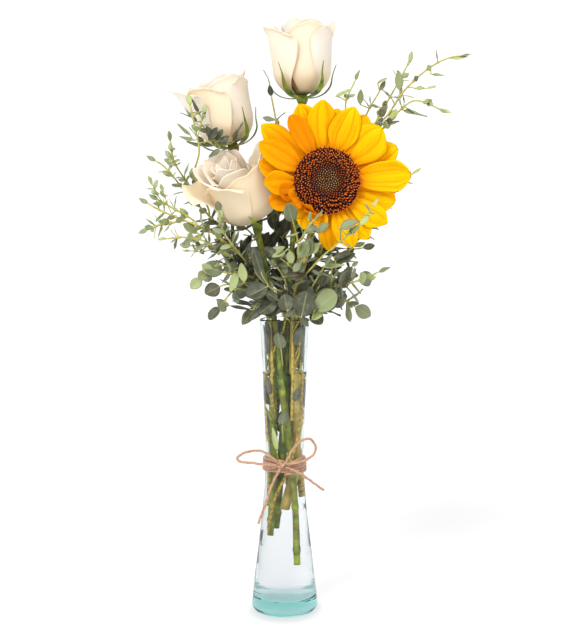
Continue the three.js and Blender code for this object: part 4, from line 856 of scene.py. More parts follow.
def make_world():
    """A white room. Soft light and gloss see it dimmer, and glass shows that its sides are dark."""
    world = bpy.data.worlds.new("studio")
    world.use_nodes = True
    g = Nodes(world.node_tree)
    path = g.node("LightPath").outputs
    sideways = g.absolute(g.parts(g.node("TexCoord").outputs["Generated"])[0])
    plain = g.math("MAXIMUM", path["Is Diffuse Ray"], path["Is Camera Ray"])
    dimming = [
        (g.math("GREATER_THAN", path["Glossy Depth"], 0.5), 0, 1, ROOM_GLOSS),
        (path["Is Diffuse Ray"], 0, 1, ROOM_LIGHT),
        (g.times(sideways, g.math("SUBTRACT", 1.0, plain)), 0.2, 0.7, ROOM_SIDES),
    ]
    strength = BACKGROUND
    for value, low, high, dimmed in dimming:
        level = g.node("MapRange", {0: value, 1: low, 2: high, 3: BACKGROUND, 4: dimmed}).outputs[0]
        strength = g.math("MINIMUM", strength, level)
    background = g.node("Background", {"Color": WHITE, "Strength": strength}).outputs[0]
    g.node("OutputWorld", {"Surface": background})
    return world


def make_studio():
    """Plain soft light on a white floor that runs into a white background."""
    scene = bpy.context.scene
    scene.view_settings.view_transform = "Standard"
    scene.view_settings.exposure = EXPOSURE
    scene.world = make_world()
    for lamp in LAMPS:
        make_lamp(*lamp)
    bpy.ops.mesh.primitive_plane_add(size=60, location=(0, 0, FLOOR_Z))
    plane = bpy.context.object
    plane.name = "studio_floor"
    plane.data.materials.append(floor_material())


# Twine

TWINE_STEP = 0.7
PLY_PITCH = 6.5
STRAND_SIDES = 12
WAIST_RADIUS = 16.5
# The four free ends: what the far end is fixed to, and how stiff they are.
CORDS = {
    "loop_left": ("object", "stiff"),
    "loop_right": ("object", "stiff"),
    "tail_left": ("bare", "medium"),
    "tail_right": ("bare", "stiff"),
}
# The bow's knot: strands that run to it over the turns from both sides, and two turns round its middle.
KNOT_LINES = [
    [[-16.2, -7.6, 122.6], [-12.5, -13.2, 122.5], [-7, -17.3, 121.4], [-2.4, -18.9, 119.2]],
    [[-15.5, -8.6, 114.5], [-11.5, -14.2, 115.2], [-6.5, -17.8, 117.6], [-1.6, -19, 118.2]],
    [[15.8, -8, 123.6], [12.2, -13.4, 122.8], [7, -17.5, 121.2], [0.6, -19.1, 119.6]],
    [[-3.9, -17.2, 122.4], [-3.1, -19.4, 121.6], [-2.1, -20.5, 119.6], [-1.5, -19.9, 117.5],
     [-1.8, -17.6, 116.2]],
    [[2.4, -17.4, 121.9], [0.6, -19.6, 120.9], [-1.2, -20.6, 118.9], [-3.4, -19.8, 117.6],
     [-4.9, -17.8, 117.2]],
]


def strand(skin, points, tone=0.5):
    """One length of twine: three plies twisted round each other."""
    distance = TWINE_STEP * np.arange(len(points))
    turn = 2 * np.pi * distance / PLY_PITCH
    lobes = np.cos(3 * (circle(STRAND_SIDES)[None] - turn[:, None] / 3))
    radii = TWINE["radius"] * (0.84 + 0.16 * lobes)
    radii[[0, -1]] *= 0.6
    skin.tube(points, radii, STRAND_SIDES, tone)


def fuzz(skin, points, seed, every=0.9):
    """Short loose fibres that stand out of the twine."""
    draw = draws(seed)
    side, up = frames_along(points)
    for i in range(len(points)):
        if draw() > TWINE_STEP / every:
            continue
        angle = 2 * np.pi * draw()
        out = math.cos(angle) * side[i] + math.sin(angle) * up[i]
        along = unit(np.roll(points, -1, axis=0)[i] - points[i]) if i + 1 < len(points) else side[i]
        lean = unit(out + along * (1.6 * draw() - 0.8))
        length = 0.8 + 2.0 * draw() ** 2
        start = points[i] + 0.9 * TWINE["radius"] * out
        bow = np.cross(lean, along) * (draw() - 0.5) * length
        fibre = np.array([start, start + lean * length / 2, start + lean * length + bow * 0.6])
        skin.tube(fibre, np.array([0.06, 0.05, 0.02]), 3, 0.7)


def wrap_points():
    """Five rising turns round the vase's waist."""
    low = TWINE["z"] - (TWINE["turns"] - 1) * TWINE["pitch"] / 2
    steps = int(TWINE["turns"] * 2 * math.pi * WAIST_RADIUS / TWINE_STEP)
    share = np.linspace(0, 1, steps)
    angle = 2 * np.pi * TWINE["turns"] * share - np.pi / 2
    z = low - 0.2 + (TWINE["turns"] - 1) * TWINE["pitch"] * share + 0.25 * np.sin(3.3 * angle)
    r = outer_radius(z) + GAP + TWINE["radius"] + 0.06 + 0.15 * np.sin(2.1 * angle)
    return polar(angle, r, 0, z)


def make_cord(name, jute):
    """A free end of the twine. Returns the points of its line."""
    line = Line(TWINE[name])
    points = line.even(TWINE_STEP)
    skin = Skin()
    strand(skin, points)
    cord = skin.piece("jute_" + name, [jute], ["twine_" + name])
    return points


def make_twine():
    """The four free ends, then the turns and the knot, and the fibres on all of them."""
    jute = jute_material()
    fibres = Skin()
    for seed, (name, (far_end, stiffness)) in enumerate(CORDS.items()):
        fuzz(fibres, make_cord(name, jute), 900 + seed)
    wrap = Skin()
    turns = wrap_points()
    strand(wrap, turns)
    fuzz(fibres, turns, 910, every=1.4)
    for seed, points in enumerate(KNOT_LINES):
        points = Line(points).even(TWINE_STEP)
        strand(wrap, points, 0.6)
        fuzz(fibres, points, 920 + seed)
    wrap.piece("jute_turns", [jute], ["twine_wrap"])
    fibres.piece("jute_fibres", [jute])


# Vase and water: the rows are of radius and height

LATHE_SIDES = 96
WATER_TOP = 188
FOOT = [
    [0, 0], [8, 0], [20, 0], [21.4, 0.03], [22.8, 0.3], [24.2, 1.1], [25.2, 2.4], [25.8, 4.0], [25.95, 5.4],
]
LIP = [
    [19.42, 228.4], [19.3, 229.2], [18.9, 229.8], [18.3, 230], [17.8, 229.7], [17.5, 229.1], [17.4, 228.2],
]


def glass_wobble(z, angle):
    """How far the hand-made glass wanders, between its foot and its lip."""
    wander = 0.12 * np.sin(z / 17 + 2 * angle) + 0.08 * np.sin(z / 7.3 - 3 * angle + 1)
    return wander * smooth(8, 30, z) * smooth(230, 222, z)


def make_vase():
    """A thick base that is rounded inside and out, and walls up to the rounded lip."""
    floor = VASE["floor"]
    corner = inner_radius(floor)
    outside = [[outer_radius(z), z] for z in np.linspace(6.5, 227.5, 110)]
    inside = [[inner_radius(z), z] for z in np.linspace(227, floor + 4, 100)]
    bowl = [
        [corner - 0.5, floor + 2], [corner - 1.6, floor + 0.7], [corner - 3.5, floor + 0.1],
        [corner - 5, floor], [corner - 7, floor], [6, floor], [0, floor],
    ]
    skin = Skin()
    skin.lathe(FOOT + outside + LIP + inside + bowl, LATHE_SIDES, wobble=glass_wobble)
    skin.piece("glass_vase", [glass_material()], ["vase"])


def make_water():
    """Water that wets the glass, with a curved rim where it climbs the wall."""
    floor = VASE["floor"]
    corner = inner_radius(floor)
    bed = floor - 0.15
    bottom = [
        [0, bed], [6, bed], [corner - 7, bed], [corner - 5, bed], [corner - 3.4, floor - 0.05],
        [corner - 1.5, floor + 0.55], [corner - 0.4, floor + 1.9],
    ]
    walls = [[inner_radius(z) + 0.12, z] for z in np.linspace(floor + 4, WATER_TOP + 1, 60)]
    rim = inner_radius(WATER_TOP)
    top = [[rim - 0.3, WATER_TOP + 0.6], [rim - 1, WATER_TOP + 0.15], [rim - 2, WATER_TOP], [0, WATER_TOP]]
    skin = Skin()
    skin.lathe(bottom + walls + top, LATHE_SIDES)
    skin.piece("vase_water", [water_material()], ["water"])


# Roses

PETAL_COLS = 25
PETAL_ROWS = 26
GOLDEN_ANGLE = 137.5
# The body radius from which a petal is an outer one.
OUTER_PETALS = 20
HIP = [
    [0, -9.2], [2.1, -9.2], [2.6, -8], [3.6, -6.4], [4.4, -4.6], [4.6, -3], [4.2, -1.4], [3.4, 0.3],
    [0, 0.4],
]


def rose_petal(rose, petal, phase, lip):
    """A grid over one petal in the rose's frame, u across it and v from its root to its tip."""
    direction, body, top, spread, curl, roll, span = petal
    u = np.sin(np.linspace(-1, 1, PETAL_COLS) * np.pi / 2)[None]
    v = (1 - (1 - np.linspace(0, 1, PETAL_ROWS)) ** 1.5)[:, None]
    height = rose["height"] * top
    edge = np.abs(u)
    bulge = np.sin(np.pi / 2 * np.minimum(1, v / 0.34)) ** 0.58
    free = mix(0.3, 1, smooth(-1, -0.1, u))
    r = mix(1 + 0.3 * body, body * mix(0.93, 1.05, v), bulge) + 1.3 * u
    r = r + free * (0.4 * spread**1.3 * smooth(0.35, 1, v) + 0.35 * curl * smooth(0.75, 1, v) ** 2)
    r = r + roll * np.maximum(0, u) ** 3 * smooth(0.5, 1, v)
    z = height * v * (1 - 0.14 * edge**2.6 * v * v)
    z = z + 0.05 * height * (1 - edge) ** 2 * v**6 - 0.5 * curl * smooth(0.85, 1, v) ** 2
    ripple = np.sin(4.2 * u + phase) + 0.6 * np.sin(9.1 * u + 2.3 * phase)
    r = r + 0.45 * ripple * smooth(0.55, 1, v) + lip * smooth(0.88, 1, v) ** 1.5
    z = z + 0.5 * rose["ruffle"] * ripple * smooth(0.7, 1, v) - 0.7 * lip * smooth(0.93, 1, v) ** 2
    reach = 0.58 + 0.42 * np.sin(np.pi * np.minimum(0.5, 0.68 * v)) - 0.16 * smooth(0.8, 1, v)
    x, y, z = np.moveaxis(polar(np.radians(direction + u * span * reach), r, 0, z), -1, 0)
    if "whorl" in rose and body < OUTER_PETALS:
        whorl = rose["whorl"]
        z = z + (whorl["slope"][0] * x + whorl["slope"][1] * y) * smooth(0.4, 1, v)
        x = x + whorl["shift"][0] * v**2
        y = y + whorl["shift"][1] * v**2
    return np.stack([x, y, z], axis=-1), u, v


def make_bloom(name, rose, cream):
    """The petals rolled up in the middle, then those of the rose's rows."""
    place = placement(rose["base"], rose["axis"])
    draw = draws(700 + len(name) * 7)
    skin = Skin()
    inner = []
    count = rose["inner"]
    for k in range(count):
        body = 1.6 + 8.6 * k / count
        top = 0.86 + 0.1 * (k / count) ** 0.7
        inner.append([GOLDEN_ANGLE * k, body, top, 0.3, 1.1 + 1.1 * k / count, 0.5, 96])
    for petal in inner + rose["petals"]:
        outer = petal[1] > OUTER_PETALS
        phase = 6.3 * draw()
        grid, u, v = rose_petal(rose, petal, phase, 0.6 + 1.1 * draw() if outer else 0.6)
        tone = 1.1 * rose["warm"] + draw() if outer else 0.3 * draw() + 0.8 * rose["warm"]
        skin.sheet(place(grid), 0.5, v, u, tone)
    skin.piece(f"rose_{name}_petals", [cream], [f"rose_{name}_bloom"])


def blade_grid(rows, turn, width, cols=7, fold=0.12, sway=0.0):
    """A narrow leaf in a bloom's frame, from rows of radius, height and share of its width."""
    line = Line([[r, z, share] for r, z, share in rows]).even(1.3)
    u = np.linspace(-0.5, 0.5, cols)[None]
    s = np.linspace(0, 1, len(line))[:, None]
    half = u * np.maximum(0.04, line[:, 2:3]) * width
    lift = fold * width * np.abs(u) * np.maximum(0.1, line[:, 2:3])
    return polar(np.radians(turn), line[:, :1] + 0 * u, half + sway * s**3, line[:, 1:2] + lift), 2 * u, s


def add_stalk(skin, line, radius, draw):
    """A stem with swollen nodes and hooked thorns."""
    points = line.even(1.2)
    distance = np.linspace(0, line.length, len(points))
    radii = np.full(len(points), radius) * (1 + 0.05 * np.sin(distance / 9))
    for node in np.arange(12, line.length - 20, 34):
        radii += 0.5 * np.exp(-(((distance - node) / 1.6) ** 2))
    skin.tube(points, radii, 14, 0.3 * draw())
    for thorn_at in np.arange(18, line.length - 14, 23):
        spot, along = line.at(thorn_at / line.length)
        side = perpendicular(along)
        angle = 2 * np.pi * draw()
        out = math.cos(angle) * side + math.sin(angle) * np.cross(along, side)
        root = spot + out * (radius - 0.4)
        thorn = np.array([root, root + out * 0.9 - along * 0.2, root + out * 1.8 - along * 0.9])
        skin.tube(thorn, np.array([1.0, 0.55, 0.05]), 6, 0.9)


def add_sepals(skin, rose, place, tall, draw):
    """Five sepals that narrow to long curved tips."""
    widest = max(petal[1] for petal in rose["petals"])
    for k in range(5):
        tip = 4 * (draw() - 0.5)
        rows = [
            [3, -3, 0.75], [0.45 * widest, -2.6, 1], [0.8 * widest, 0.4, 1],
            [widest + 0.8, 6.5 * tall, 0.62], [widest + 2.6, 14 * tall, 0.26],
            [widest + 6.2, (22 + tip) * tall, 0.03],
        ]
        grid, u, s = blade_grid(rows, rose["sepals"] + 72 * k, 6.4, sway=7 * (draw() - 0.5))
        skin.sheet(place(grid), 0.6, s, u, 0.15 * draw())


def make_rose_stem(name, rose, green):
    """The stem, the hip and the sepals. The open rose's sepals are short."""
    draw = draws(800 + len(name) * 11)
    stem = STEMS[rose["stem"]]
    place = placement(rose["base"], rose["axis"])
    skin = Skin()
    add_stalk(skin, Line(stem["path"]), stem["radius"], draw)
    skin.lathe(HIP, 20, place, 0.2)
    add_sepals(skin, rose, place, 0.6 if name == "open" else 1, draw)
    skin.piece(f"rose_{name}_stalk", [green], [f"rose_{name}_stem"])


def make_roses():
    cream = cream_material()
    green = stem_material("rose_stem", "#34460c", "#72891c", "#b0bc3a", "#7a6420")
    for name, rose in ROSES.items():
        make_bloom(name, rose, cream)
        make_rose_stem(name, rose, green)


# Sunflower

RAY_ROWS = 22
RAY_COLS = 19
FLORETS = 620
FLORET_ANGLE = 137.508
DOME_TONE = 2.0
# Where a ray petal's two grooves run, as a share of its half width.
GROOVE = 0.36
# The direction of a ray petal that lies in the shade of the ones over it.
SHADED_RAY = 122
# More petals at the front of the head: rows like the rest, with how far each curls in at its tip.
CURLED_RAYS = [
    [215, 38, 15, 16, 12, 1, 9], [238, 33, 14, 17, -10, 1, 12], [252, 35, 14, 14, 14, 1, 10],
    [199, 42, 14, 12, -14, 1, 6],
]


def ray_height(distance, lean, layer):
    """How far forward a ray petal lies at a distance from the head's middle."""
    s = np.maximum(0, (distance - SUNFLOWER["ring_outer"]) / 36)
    return SUNFLOWER["ring_top"] - SUNFLOWER["ring_thick"] * (0.75 - 0.5 * layer) + lean * s**1.4


def ray_grid(ray, draw):
    """A ray petal, ribbed and slightly cupped, with an uneven edge and perhaps a tip that curls in."""
    direction, length, width, lean, twist, layer = ray[:6]
    curl = ray[6] if len(ray) > 6 else 0
    s = np.linspace(0, 1, RAY_ROWS)[:, None]
    u = np.linspace(-1, 1, RAY_COLS)[None]
    distance = mix(SUNFLOWER["ring_outer"] - 4, length, s)
    begin, point = 0.6 + 0.16 * draw(), 0.3 + 0.18 * draw()
    taper = np.maximum(0.0004, 1 - smooth(begin, 1.012, s)) ** point
    half = width / 2 * (0.38 + 0.62 * smooth(0, 0.52, s)) * taper
    half = half * (1 + 0.05 * np.sin(9 * s + 6.3 * draw()))
    tilt = np.radians(twist * 1.4) * s
    cup = (0.1 + 0.2 * draw()) * (1 if draw() > 0.3 else -1)
    groove = np.exp(-(((np.abs(u) - GROOVE) / 0.13) ** 2)) * smooth(0, 0.2, s) * smooth(1, 0.75, s)
    relief = cup * half * np.abs(u) ** 1.6 - 0.95 * groove
    wave = 0.7 * np.sin(5 * s + 2 * u + 6.3 * draw()) * np.abs(u) * smooth(0.2, 0.6, s)
    sway = (draw() - 0.5) * 5 * s**2
    across = u * half * np.cos(tilt) - relief * np.sin(tilt) + sway
    forward = ray_height(distance, lean, layer) + u * half * np.sin(tilt) + relief + wave
    forward = forward + 1.2 * draw() + curl * s**2 - (draw() - 0.35) * 3 * smooth(0.7, 1, s) ** 2
    distance = distance - 0.8 * curl * s**3
    return polar(np.radians(direction), distance, across, forward), u, s


def ray_tone_and_shade(ray, draw):
    """Painted shade: petals on the left and low down are painted more orange, and so are the one in the
    shade of those over it and those that curl in. The rest of the tone differs at random.
    """
    if ray[0] == SHADED_RAY or len(ray) > 6:
        return 0.95
    direction = math.radians(ray[0])
    left, low = max(0, -math.cos(direction)), max(0, -math.sin(direction))
    return 0.4 * draw() + 0.35 * left + 0.3 * low * (ray[0] < 290)


def make_rays(place):
    draw = draws(640)
    skin = Skin()
    for ray in SUNFLOWER["rays"] + CURLED_RAYS:
        grid, u, s = ray_grid(ray, draw)
        skin.sheet(place(grid), 0.4, s, u, ray_tone_and_shade(ray, draw))
    skin.piece("sunflower_rays", [ray_material()], ["sunflower_petals"])


def disc_height(share):
    rise = SUNFLOWER["disc_rise"] * (1 - share**2.4)
    return SUNFLOWER["disc_edge"] + rise - SUNFLOWER["disc_dip"] * (1 - smooth(0, 0.45, share))


def add_floret(skin, place, k, draw):
    """The k-th floret of a spiral: a shut bud in the middle, further out an open one, some with a style."""
    radius = SUNFLOWER["disc_radius"]
    share = math.sqrt((k + 0.5) / FLORETS)
    angle = math.radians(FLORET_ANGLE * k)
    open_share = float(smooth(0.36, 0.6, share))
    lean = 0.45 * share**3 + (0.3 + 0.4 * open_share) * (draw() - 0.5)
    tall = mix(1.2, 2.3 + 1.8 * draw(), open_share)
    thick = mix(0.6, 0.5, open_share)
    base = polar(angle, radius * share * 0.985, 0, disc_height(share) - 0.7)
    out = polar(angle, math.sin(lean), 0.25 * (draw() - 0.5), math.cos(lean))
    stalk = base + np.array([0, 0.45, 0.8, 1.0])[:, None] * tall * out
    flare = np.array([1, 0.9, mix(0.75, 1.15, open_share), mix(0.25, 0.45, open_share)])
    skin.tube(place(stalk), thick * flare, 6, share)
    if open_share < 0.5 or draw() < 0.35:
        return
    tip = stalk[-1]
    away = unit(polar(angle, 0.6 * draw() - 0.1, draw() - 0.5, 0.7))
    hook = polar(angle, 0.5, 0.6 * (draw() - 0.5), 0)
    style = np.array([tip, tip + 0.7 * away, tip + 1.1 * away + hook])
    skin.tube(place(style), np.array([0.25, 0.22, 0.1]), 4, share, along=(0.9, 1.0))


def make_disc(place):
    """A dome of florets."""
    radius = SUNFLOWER["disc_radius"]
    draw = draws(377)
    skin = Skin()
    top = [[radius * s, disc_height(s) - 0.6] for s in np.linspace(0.999, 0.001, 24)]
    skin.lathe([[0, -3], [radius - 2, -3]] + top + [[0, disc_height(0)]], 64, place, DOME_TONE)
    for k in range(FLORETS):
        add_floret(skin, place, k, draw)
    skin.piece("sunflower_florets", [disc_material()], ["sunflower_disc"])


def add_sunflower_stem(skin):
    line = Line(STEMS["sunflower"]["path"])
    points = line.even(1.5)
    distance = np.linspace(0, line.length, len(points))
    ribs = 1 + 0.03 * np.cos(6 * circle(16)[None] + 0.02 * distance[:, None])
    radii = STEMS["sunflower"]["radius"] * ribs * (1 + 0.04 * np.sin(distance / 13))[:, None]
    skin.tube(points, radii, 16, 0.5, 1)


def add_bracts(skin, place, front, draw):
    """Two rows of pointed bracts behind the petals."""
    flower = SUNFLOWER
    edge = flower["ring_outer"]
    for k in range(2 * flower["bracts"]):
        outer = k % 2
        turn = 360 * (k / 2 + 0.1 * (draw() - 0.5)) / flower["bracts"]
        s = np.linspace(0, 1, 9)
        widths = np.interp(s, *np.transpose(flower["bract_rows"])) / 12
        reach = flower["bract_length"] * (1 + 0.15 * (draw() - 0.5))
        droop = 2 + 3 * outer + 3 * draw()
        rows = [[edge - 7 + reach * d, front - 2.4 - droop * d * d, w] for d, w in zip(s, widths)]
        grid, u, s = blade_grid(rows, turn, 11.5, sway=4 * (draw() - 0.5))
        skin.sheet(place(grid), 0.6, s, u, 0.2 * draw())


def make_head_back(place):
    """The stem, the green cup behind the head and its bracts."""
    skin = Skin()
    add_sunflower_stem(skin)
    front = SUNFLOWER["ring_top"] - SUNFLOWER["ring_thick"] - GAP
    back = front - SUNFLOWER["back_depth"]
    edge = SUNFLOWER["ring_outer"]
    cup = [
        [0, back - 5], [3, back - 5], [4.6, back - 3], [7.5, back - 0.4], [12, back + 1.6],
        [edge - 3.4, front - 4], [edge - 1.4, front - 2], [edge - 1, front - 0.3], [edge - 3, front],
        [0, front],
    ]
    skin.lathe(cup, 40, place, 0.1)
    add_bracts(skin, place, front, draws(610))
    green = stem_material("sunflower_green", "#41582a", "#58752f", "#71903f", "#7d8a4a")
    tan = stem_material("sunflower_stem", "#8f8236", "#b8a650", "#d6c473", "#967c3c")
    skin.piece("sunflower_back", [green, tan], ["sunflower_stem"])


def make_sunflower():
    place = placement(SUNFLOWER["centre"], SUNFLOWER["facing"])
    make_rays(place)
    make_disc(place)
    make_head_back(place)


# Eucalyptus: where each leaf grows is worked out as the part does it

# Leaves stay out of the room round the sunflower's head, keep a gap to the glass, and start at a height.
HEAD_ROOM = {"lean": 9, "radius": 62, "behind": 13, "before": 8}
GLASS_ROOM = 0.4
SMALLEST_LEAF = 8
LEAVES_FROM = 200
ROOT_ROOM = 3.2
KNEE = 3
# Leaves in the vase and just over its rim are narrower, and lie closer to their twig.
VASE_SPREAD = math.radians(14)
VASE_ROUND = 0.6
# The attitudes that a leaf tries in turn: its turn about the twig, and shares of its opening and length.
ATTITUDES = [
    (0, 1, 1), (0.5, 1, 1), (-0.5, 1, 1), (0, 0.5, 0.9), (0.7, 0.7, 0.85), (-0.7, 0.7, 0.85),
    (0.3, 0.55, 0.75), (-0.3, 0.8, 0.65),
]


class Balls:
    """Balls that leaves keep clear of, each with the number of what it belongs to."""

    def __init__(self):
        self.points, self.radii, self.owners = np.zeros((0, 3)), np.zeros(0), np.zeros(0)

    def add(self, points, radius, owner):
        self.points = np.concatenate([self.points, points])
        self.radii = np.concatenate([self.radii, np.broadcast_to(radius, len(points))])
        self.owners = np.concatenate([self.owners, np.full(len(points), owner)])

    def leave_room(self, points, radius, owner, root, near):
        """Whether balls at the points are clear of all these. Those of the same owner may come nearer, by a
        share, and don't count close to the root."""
        centre = points.mean(axis=0)
        reach = np.linalg.norm(points - centre, axis=1).max() + radius
        close = np.linalg.norm(self.points - centre, axis=1) < reach + self.radii
        others, radii, own = self.points[close], self.radii[close], self.owners[close] == owner
        excused = own & (np.linalg.norm(others - root, axis=1) < ROOT_ROOM)
        gaps = np.linalg.norm(points[:, None] - others[None], axis=2)
        touch = gaps <= np.where(own, near, 1) * (radius + radii)
        return not (touch & ~excused).any()


def flower_balls():
    balls = Balls()
    for stem in STEMS.values():
        balls.add(Line(stem["path"]).points, stem["radius"] + 1, -1)
    for rose in ROSES.values():
        up = unit(rose["axis"])
        for height, r in rose["clear"]:
            balls.add(np.array([rose["base"] + up * height]), r, -1)
    return balls


def in_the_way(points, r):
    """Which balls meet the glass, the water or the sunflower's head."""
    z = points[:, 2]
    out = np.hypot(points[:, 0], points[:, 1])
    inside = out <= outer_radius(z) + r + GLASS_ROOM
    low = z < WATER_TOP + 1 + r
    wall = (z < VASE["height"] + r) & inside & (out > inner_radius(z) - r - GLASS_ROOM)
    facing = unit(SUNFLOWER["facing"])
    offset = points - np.array(SUNFLOWER["centre"])
    forward = offset @ facing
    distance = np.linalg.norm(offset - forward[:, None] * facing, axis=1)
    petals = ray_height(distance, HEAD_ROOM["lean"], 0)
    head = (distance < HEAD_ROOM["radius"] + r) & (forward > petals - HEAD_ROOM["behind"] - r)
    head &= forward < petals + HEAD_ROOM["before"] + r
    return np.where(low, inside, wall | head)


class Leaf:
    """A leaf's root and directions: along it, across it and up from its face."""

    def __init__(self, root, along, side, up, length, round_share, bend):
        self.root, self.along, self.side, self.up = root, along, side, up
        self.length, self.round, self.bend = length, round_share, bend
        self.tone, self.set_tone = 0.0, None

    def half_width(self, s):
        round_share = min(1, self.round)
        fullness = np.sin(np.pi * mix(np.asarray(s, float) ** 0.8, s, round_share))
        return 0.5 * self.length * self.round * np.maximum(0, fullness) ** mix(0.85, 0.6, round_share)

    def point(self, s, u, lift=0.0):
        s, u = np.broadcast_arrays(np.asarray(s, float), np.asarray(u, float))
        along = (self.length * s)[..., None] * self.along
        across = (u * self.half_width(s))[..., None] * self.side
        arch = (self.bend * self.length * (s * s - s) + lift)[..., None] * self.up
        return self.root + along + across + arch

    def balls(self):
        pitch = max(1.5, self.length * self.round / 7)
        rows = math.ceil(self.length / pitch)
        spots = []
        for i in range(1, rows + 1):
            cols = math.ceil(2 * float(self.half_width(i / rows)) / pitch)
            spots += [(i / rows, 2 * j / cols - 1 if cols else 0) for j in range(cols + 1)]
        spots = np.array(spots)
        return self.point(spots[:, 0], spots[:, 1]), 0.62 * pitch + 0.35


class Twig:
    """A branch's stem or a side twig: its line, its radius at a distance along it, and what grows on it."""

    def __init__(self, points, start, radii, pairs=0, sizes=None, rounds=None):
        self.line = Line(points)
        self.length = self.line.length
        self.start, self.radii = start, radii
        self.pairs, self.sizes, self.rounds = pairs, sizes, rounds
        self.tip, self.width = None, None
        self.leaves, self.nodes, self.twigs = [], [], []

    def radius(self, distance):
        return mix(*self.radii, distance / self.length)

    def bears(self, leaf, distance, owner, taken, near):
        """Adds a leaf at a distance along the twig if it is clear of all that is placed before it."""
        points, radius = leaf.balls()
        if in_the_way(points, radius).any() or not taken.leave_room(points, radius, owner, leaf.root, near):
            return False
        self.leaves.append(leaf)
        self.nodes.append(distance)
        taken.add(points, radius, owner)
        return True


def leaf_along(spot, along_twig, radius, along, tip, length, round_share, bend):
    out = unit(along - along_twig * along.dot(along_twig))
    across = unit(np.cross(along_twig, out))
    face = unit(np.cross(along, across))
    side = across * math.cos(tip) + face * math.sin(tip)
    up = unit(np.cross(side, along))
    return Leaf(spot + out * 0.7 * radius, along, side, up, length, round_share, bend)


def leaf_direction(along_twig, roll, spread):
    side = perpendicular(along_twig)
    out = side * math.cos(roll) + np.cross(side, along_twig) * math.sin(roll)
    return unit(out * math.sin(spread) + along_twig * math.cos(spread))


def grow_leaves(twig, run, owner, draw, taken, smallest=SMALLEST_LEAF, near=0.85, tone=0.0):
    """Leaf pairs along a run of one twig: how many, from and to which share of it, their sizes and rounds.
    Each leaf takes the first attitude that is clear of all placed before it, and isn't under the smallest
    size. Leaves of one branch may come nearer to each other, by the share near."""
    pairs, start, end, sizes, rounds = run
    for i in range(pairs):
        t = (i + 0.5) / pairs
        distance = mix(start, end, t) * twig.length
        spot, along_twig = twig.line.at(distance / twig.length)
        in_vase = spot[2] < VASE["height"] + 3
        twist = 0.7 * (draw() - 0.5)
        for k in range(2):
            roll = math.pi * (k + 0.5 * (i % 2)) + twist
            tip = 0.8 * (draw() - 0.5)
            wide = math.radians(52 + 24 * draw())
            length = mix(*sizes, t) * (0.85 + 0.3 * draw())
            shape = mix(*rounds, t) * (VASE_ROUND if in_vase else 1), 0.1 + 0.25 * draw()
            for turn, close, shrink in ATTITUDES:
                size = length * shrink
                if size < smallest:
                    continue
                along = leaf_direction(along_twig, roll + turn, VASE_SPREAD if in_vase else wide * close)
                leaf = leaf_along(spot, along_twig, twig.radius(distance), along, tip, size, *shape)
                leaf.tone = tone
                if twig.bears(leaf, distance, owner, taken, near):
                    break


def end_leaf(twig, along, length, round_share, turn):
    side = turned(unit(np.cross(along, (0, -0.75, 0.65))), along, turn)
    return Leaf(twig.line.at(1)[0], along, side, np.cross(side, along), length, round_share, 0.12)


def grow_end(twig, owner, draw, taken):
    tip, along = twig.line.at(1)
    if twig.pairs:
        leaf = end_leaf(twig, along, max(SMALLEST_LEAF, twig.sizes[1]), twig.rounds[1], draw() - 0.5)
    else:
        reach = np.array(twig.tip) - tip
        length = np.linalg.norm(reach)
        leaf = end_leaf(twig, unit(reach), length, twig.width / length, 0.5 * (draw() - 0.5))
    twig.leaves.append(leaf)
    taken.add(*leaf.balls(), owner)


def add_side_twig(main, share, path, radii, *leaves):
    """A twig that leaves the stem at a share of its length, over a short knee where it has room for one."""
    spot, along = main.line.at(share)
    toward = np.array(path[0]) - spot
    out = unit(toward - along * toward.dot(along))
    root = spot + out * 0.7 * main.radius(share * main.length)
    knee = [root + (out + along) * KNEE] if np.linalg.norm(toward) > 4 * KNEE else []
    twig = Twig([root] + knee + list(path), 0.2, radii, *leaves)
    main.twigs.append(twig)
    main.nodes.append(share * main.length)
    return twig


def make_branch(branch):
    """A branch's stem, with the stalks of its single leaves and its side twigs."""
    leaves = branch["pairs"], branch["sizes"], branch["rounds"]
    main = Twig(branch["path"], 0, [branch["radius"], 0.6], *leaves)
    main.start = main.line.share_at_height(LEAVES_FROM)
    for share, root, tip, width in branch.get("leaves", []):
        before = np.array(root) - unit(np.subtract(tip, root)) * KNEE
        stalk = add_side_twig(main, share, [before, root], [0.6, 0.6])
        stalk.tip, stalk.width = tip, width
    for share, path, *leaves in branch["twigs"]:
        add_side_twig(main, share, path, [0.75, 0.6], *leaves)
    return main


def plan_branches():
    taken = flower_balls()
    mains = [make_branch(branch) for branch in BRANCHES]
    for owner, main in enumerate(mains):
        for twig in [main] + main.twigs:
            count = math.ceil(twig.length / 2)
            points = np.array([twig.line.at(i / count)[0] for i in range(count + 1)])
            taken.add(points, twig.radius(0) + 0.7, owner)
    for owner, main in enumerate(mains):
        draw = draws(BRANCHES[owner]["seed"])
        for twig in [main] + main.twigs:
            grow_end(twig, owner, draw, taken)
    for owner, main in enumerate(mains):
        draw = draws(BRANCHES[owner]["seed"] + 1)
        for twig in [main] + main.twigs:
            if twig.pairs:
                run = twig.pairs, twig.start, 0.985, twig.sizes, twig.rounds
                grow_leaves(twig, run, owner, draw, taken)
    return mains, taken


# Eucalyptus: smaller and darker leaves than the part has, in the room that is left; the darker ones are
# painted shade

SPRIG_EVERY = 24
SPRIG_LENGTH = 15
BARE_BRANCHES = ("eucalyptus_right", "eucalyptus_back")
# Just under the rim, just over it, and the top of the thick of the leaves.
FILLED_HEIGHTS = (226, 234, 262)
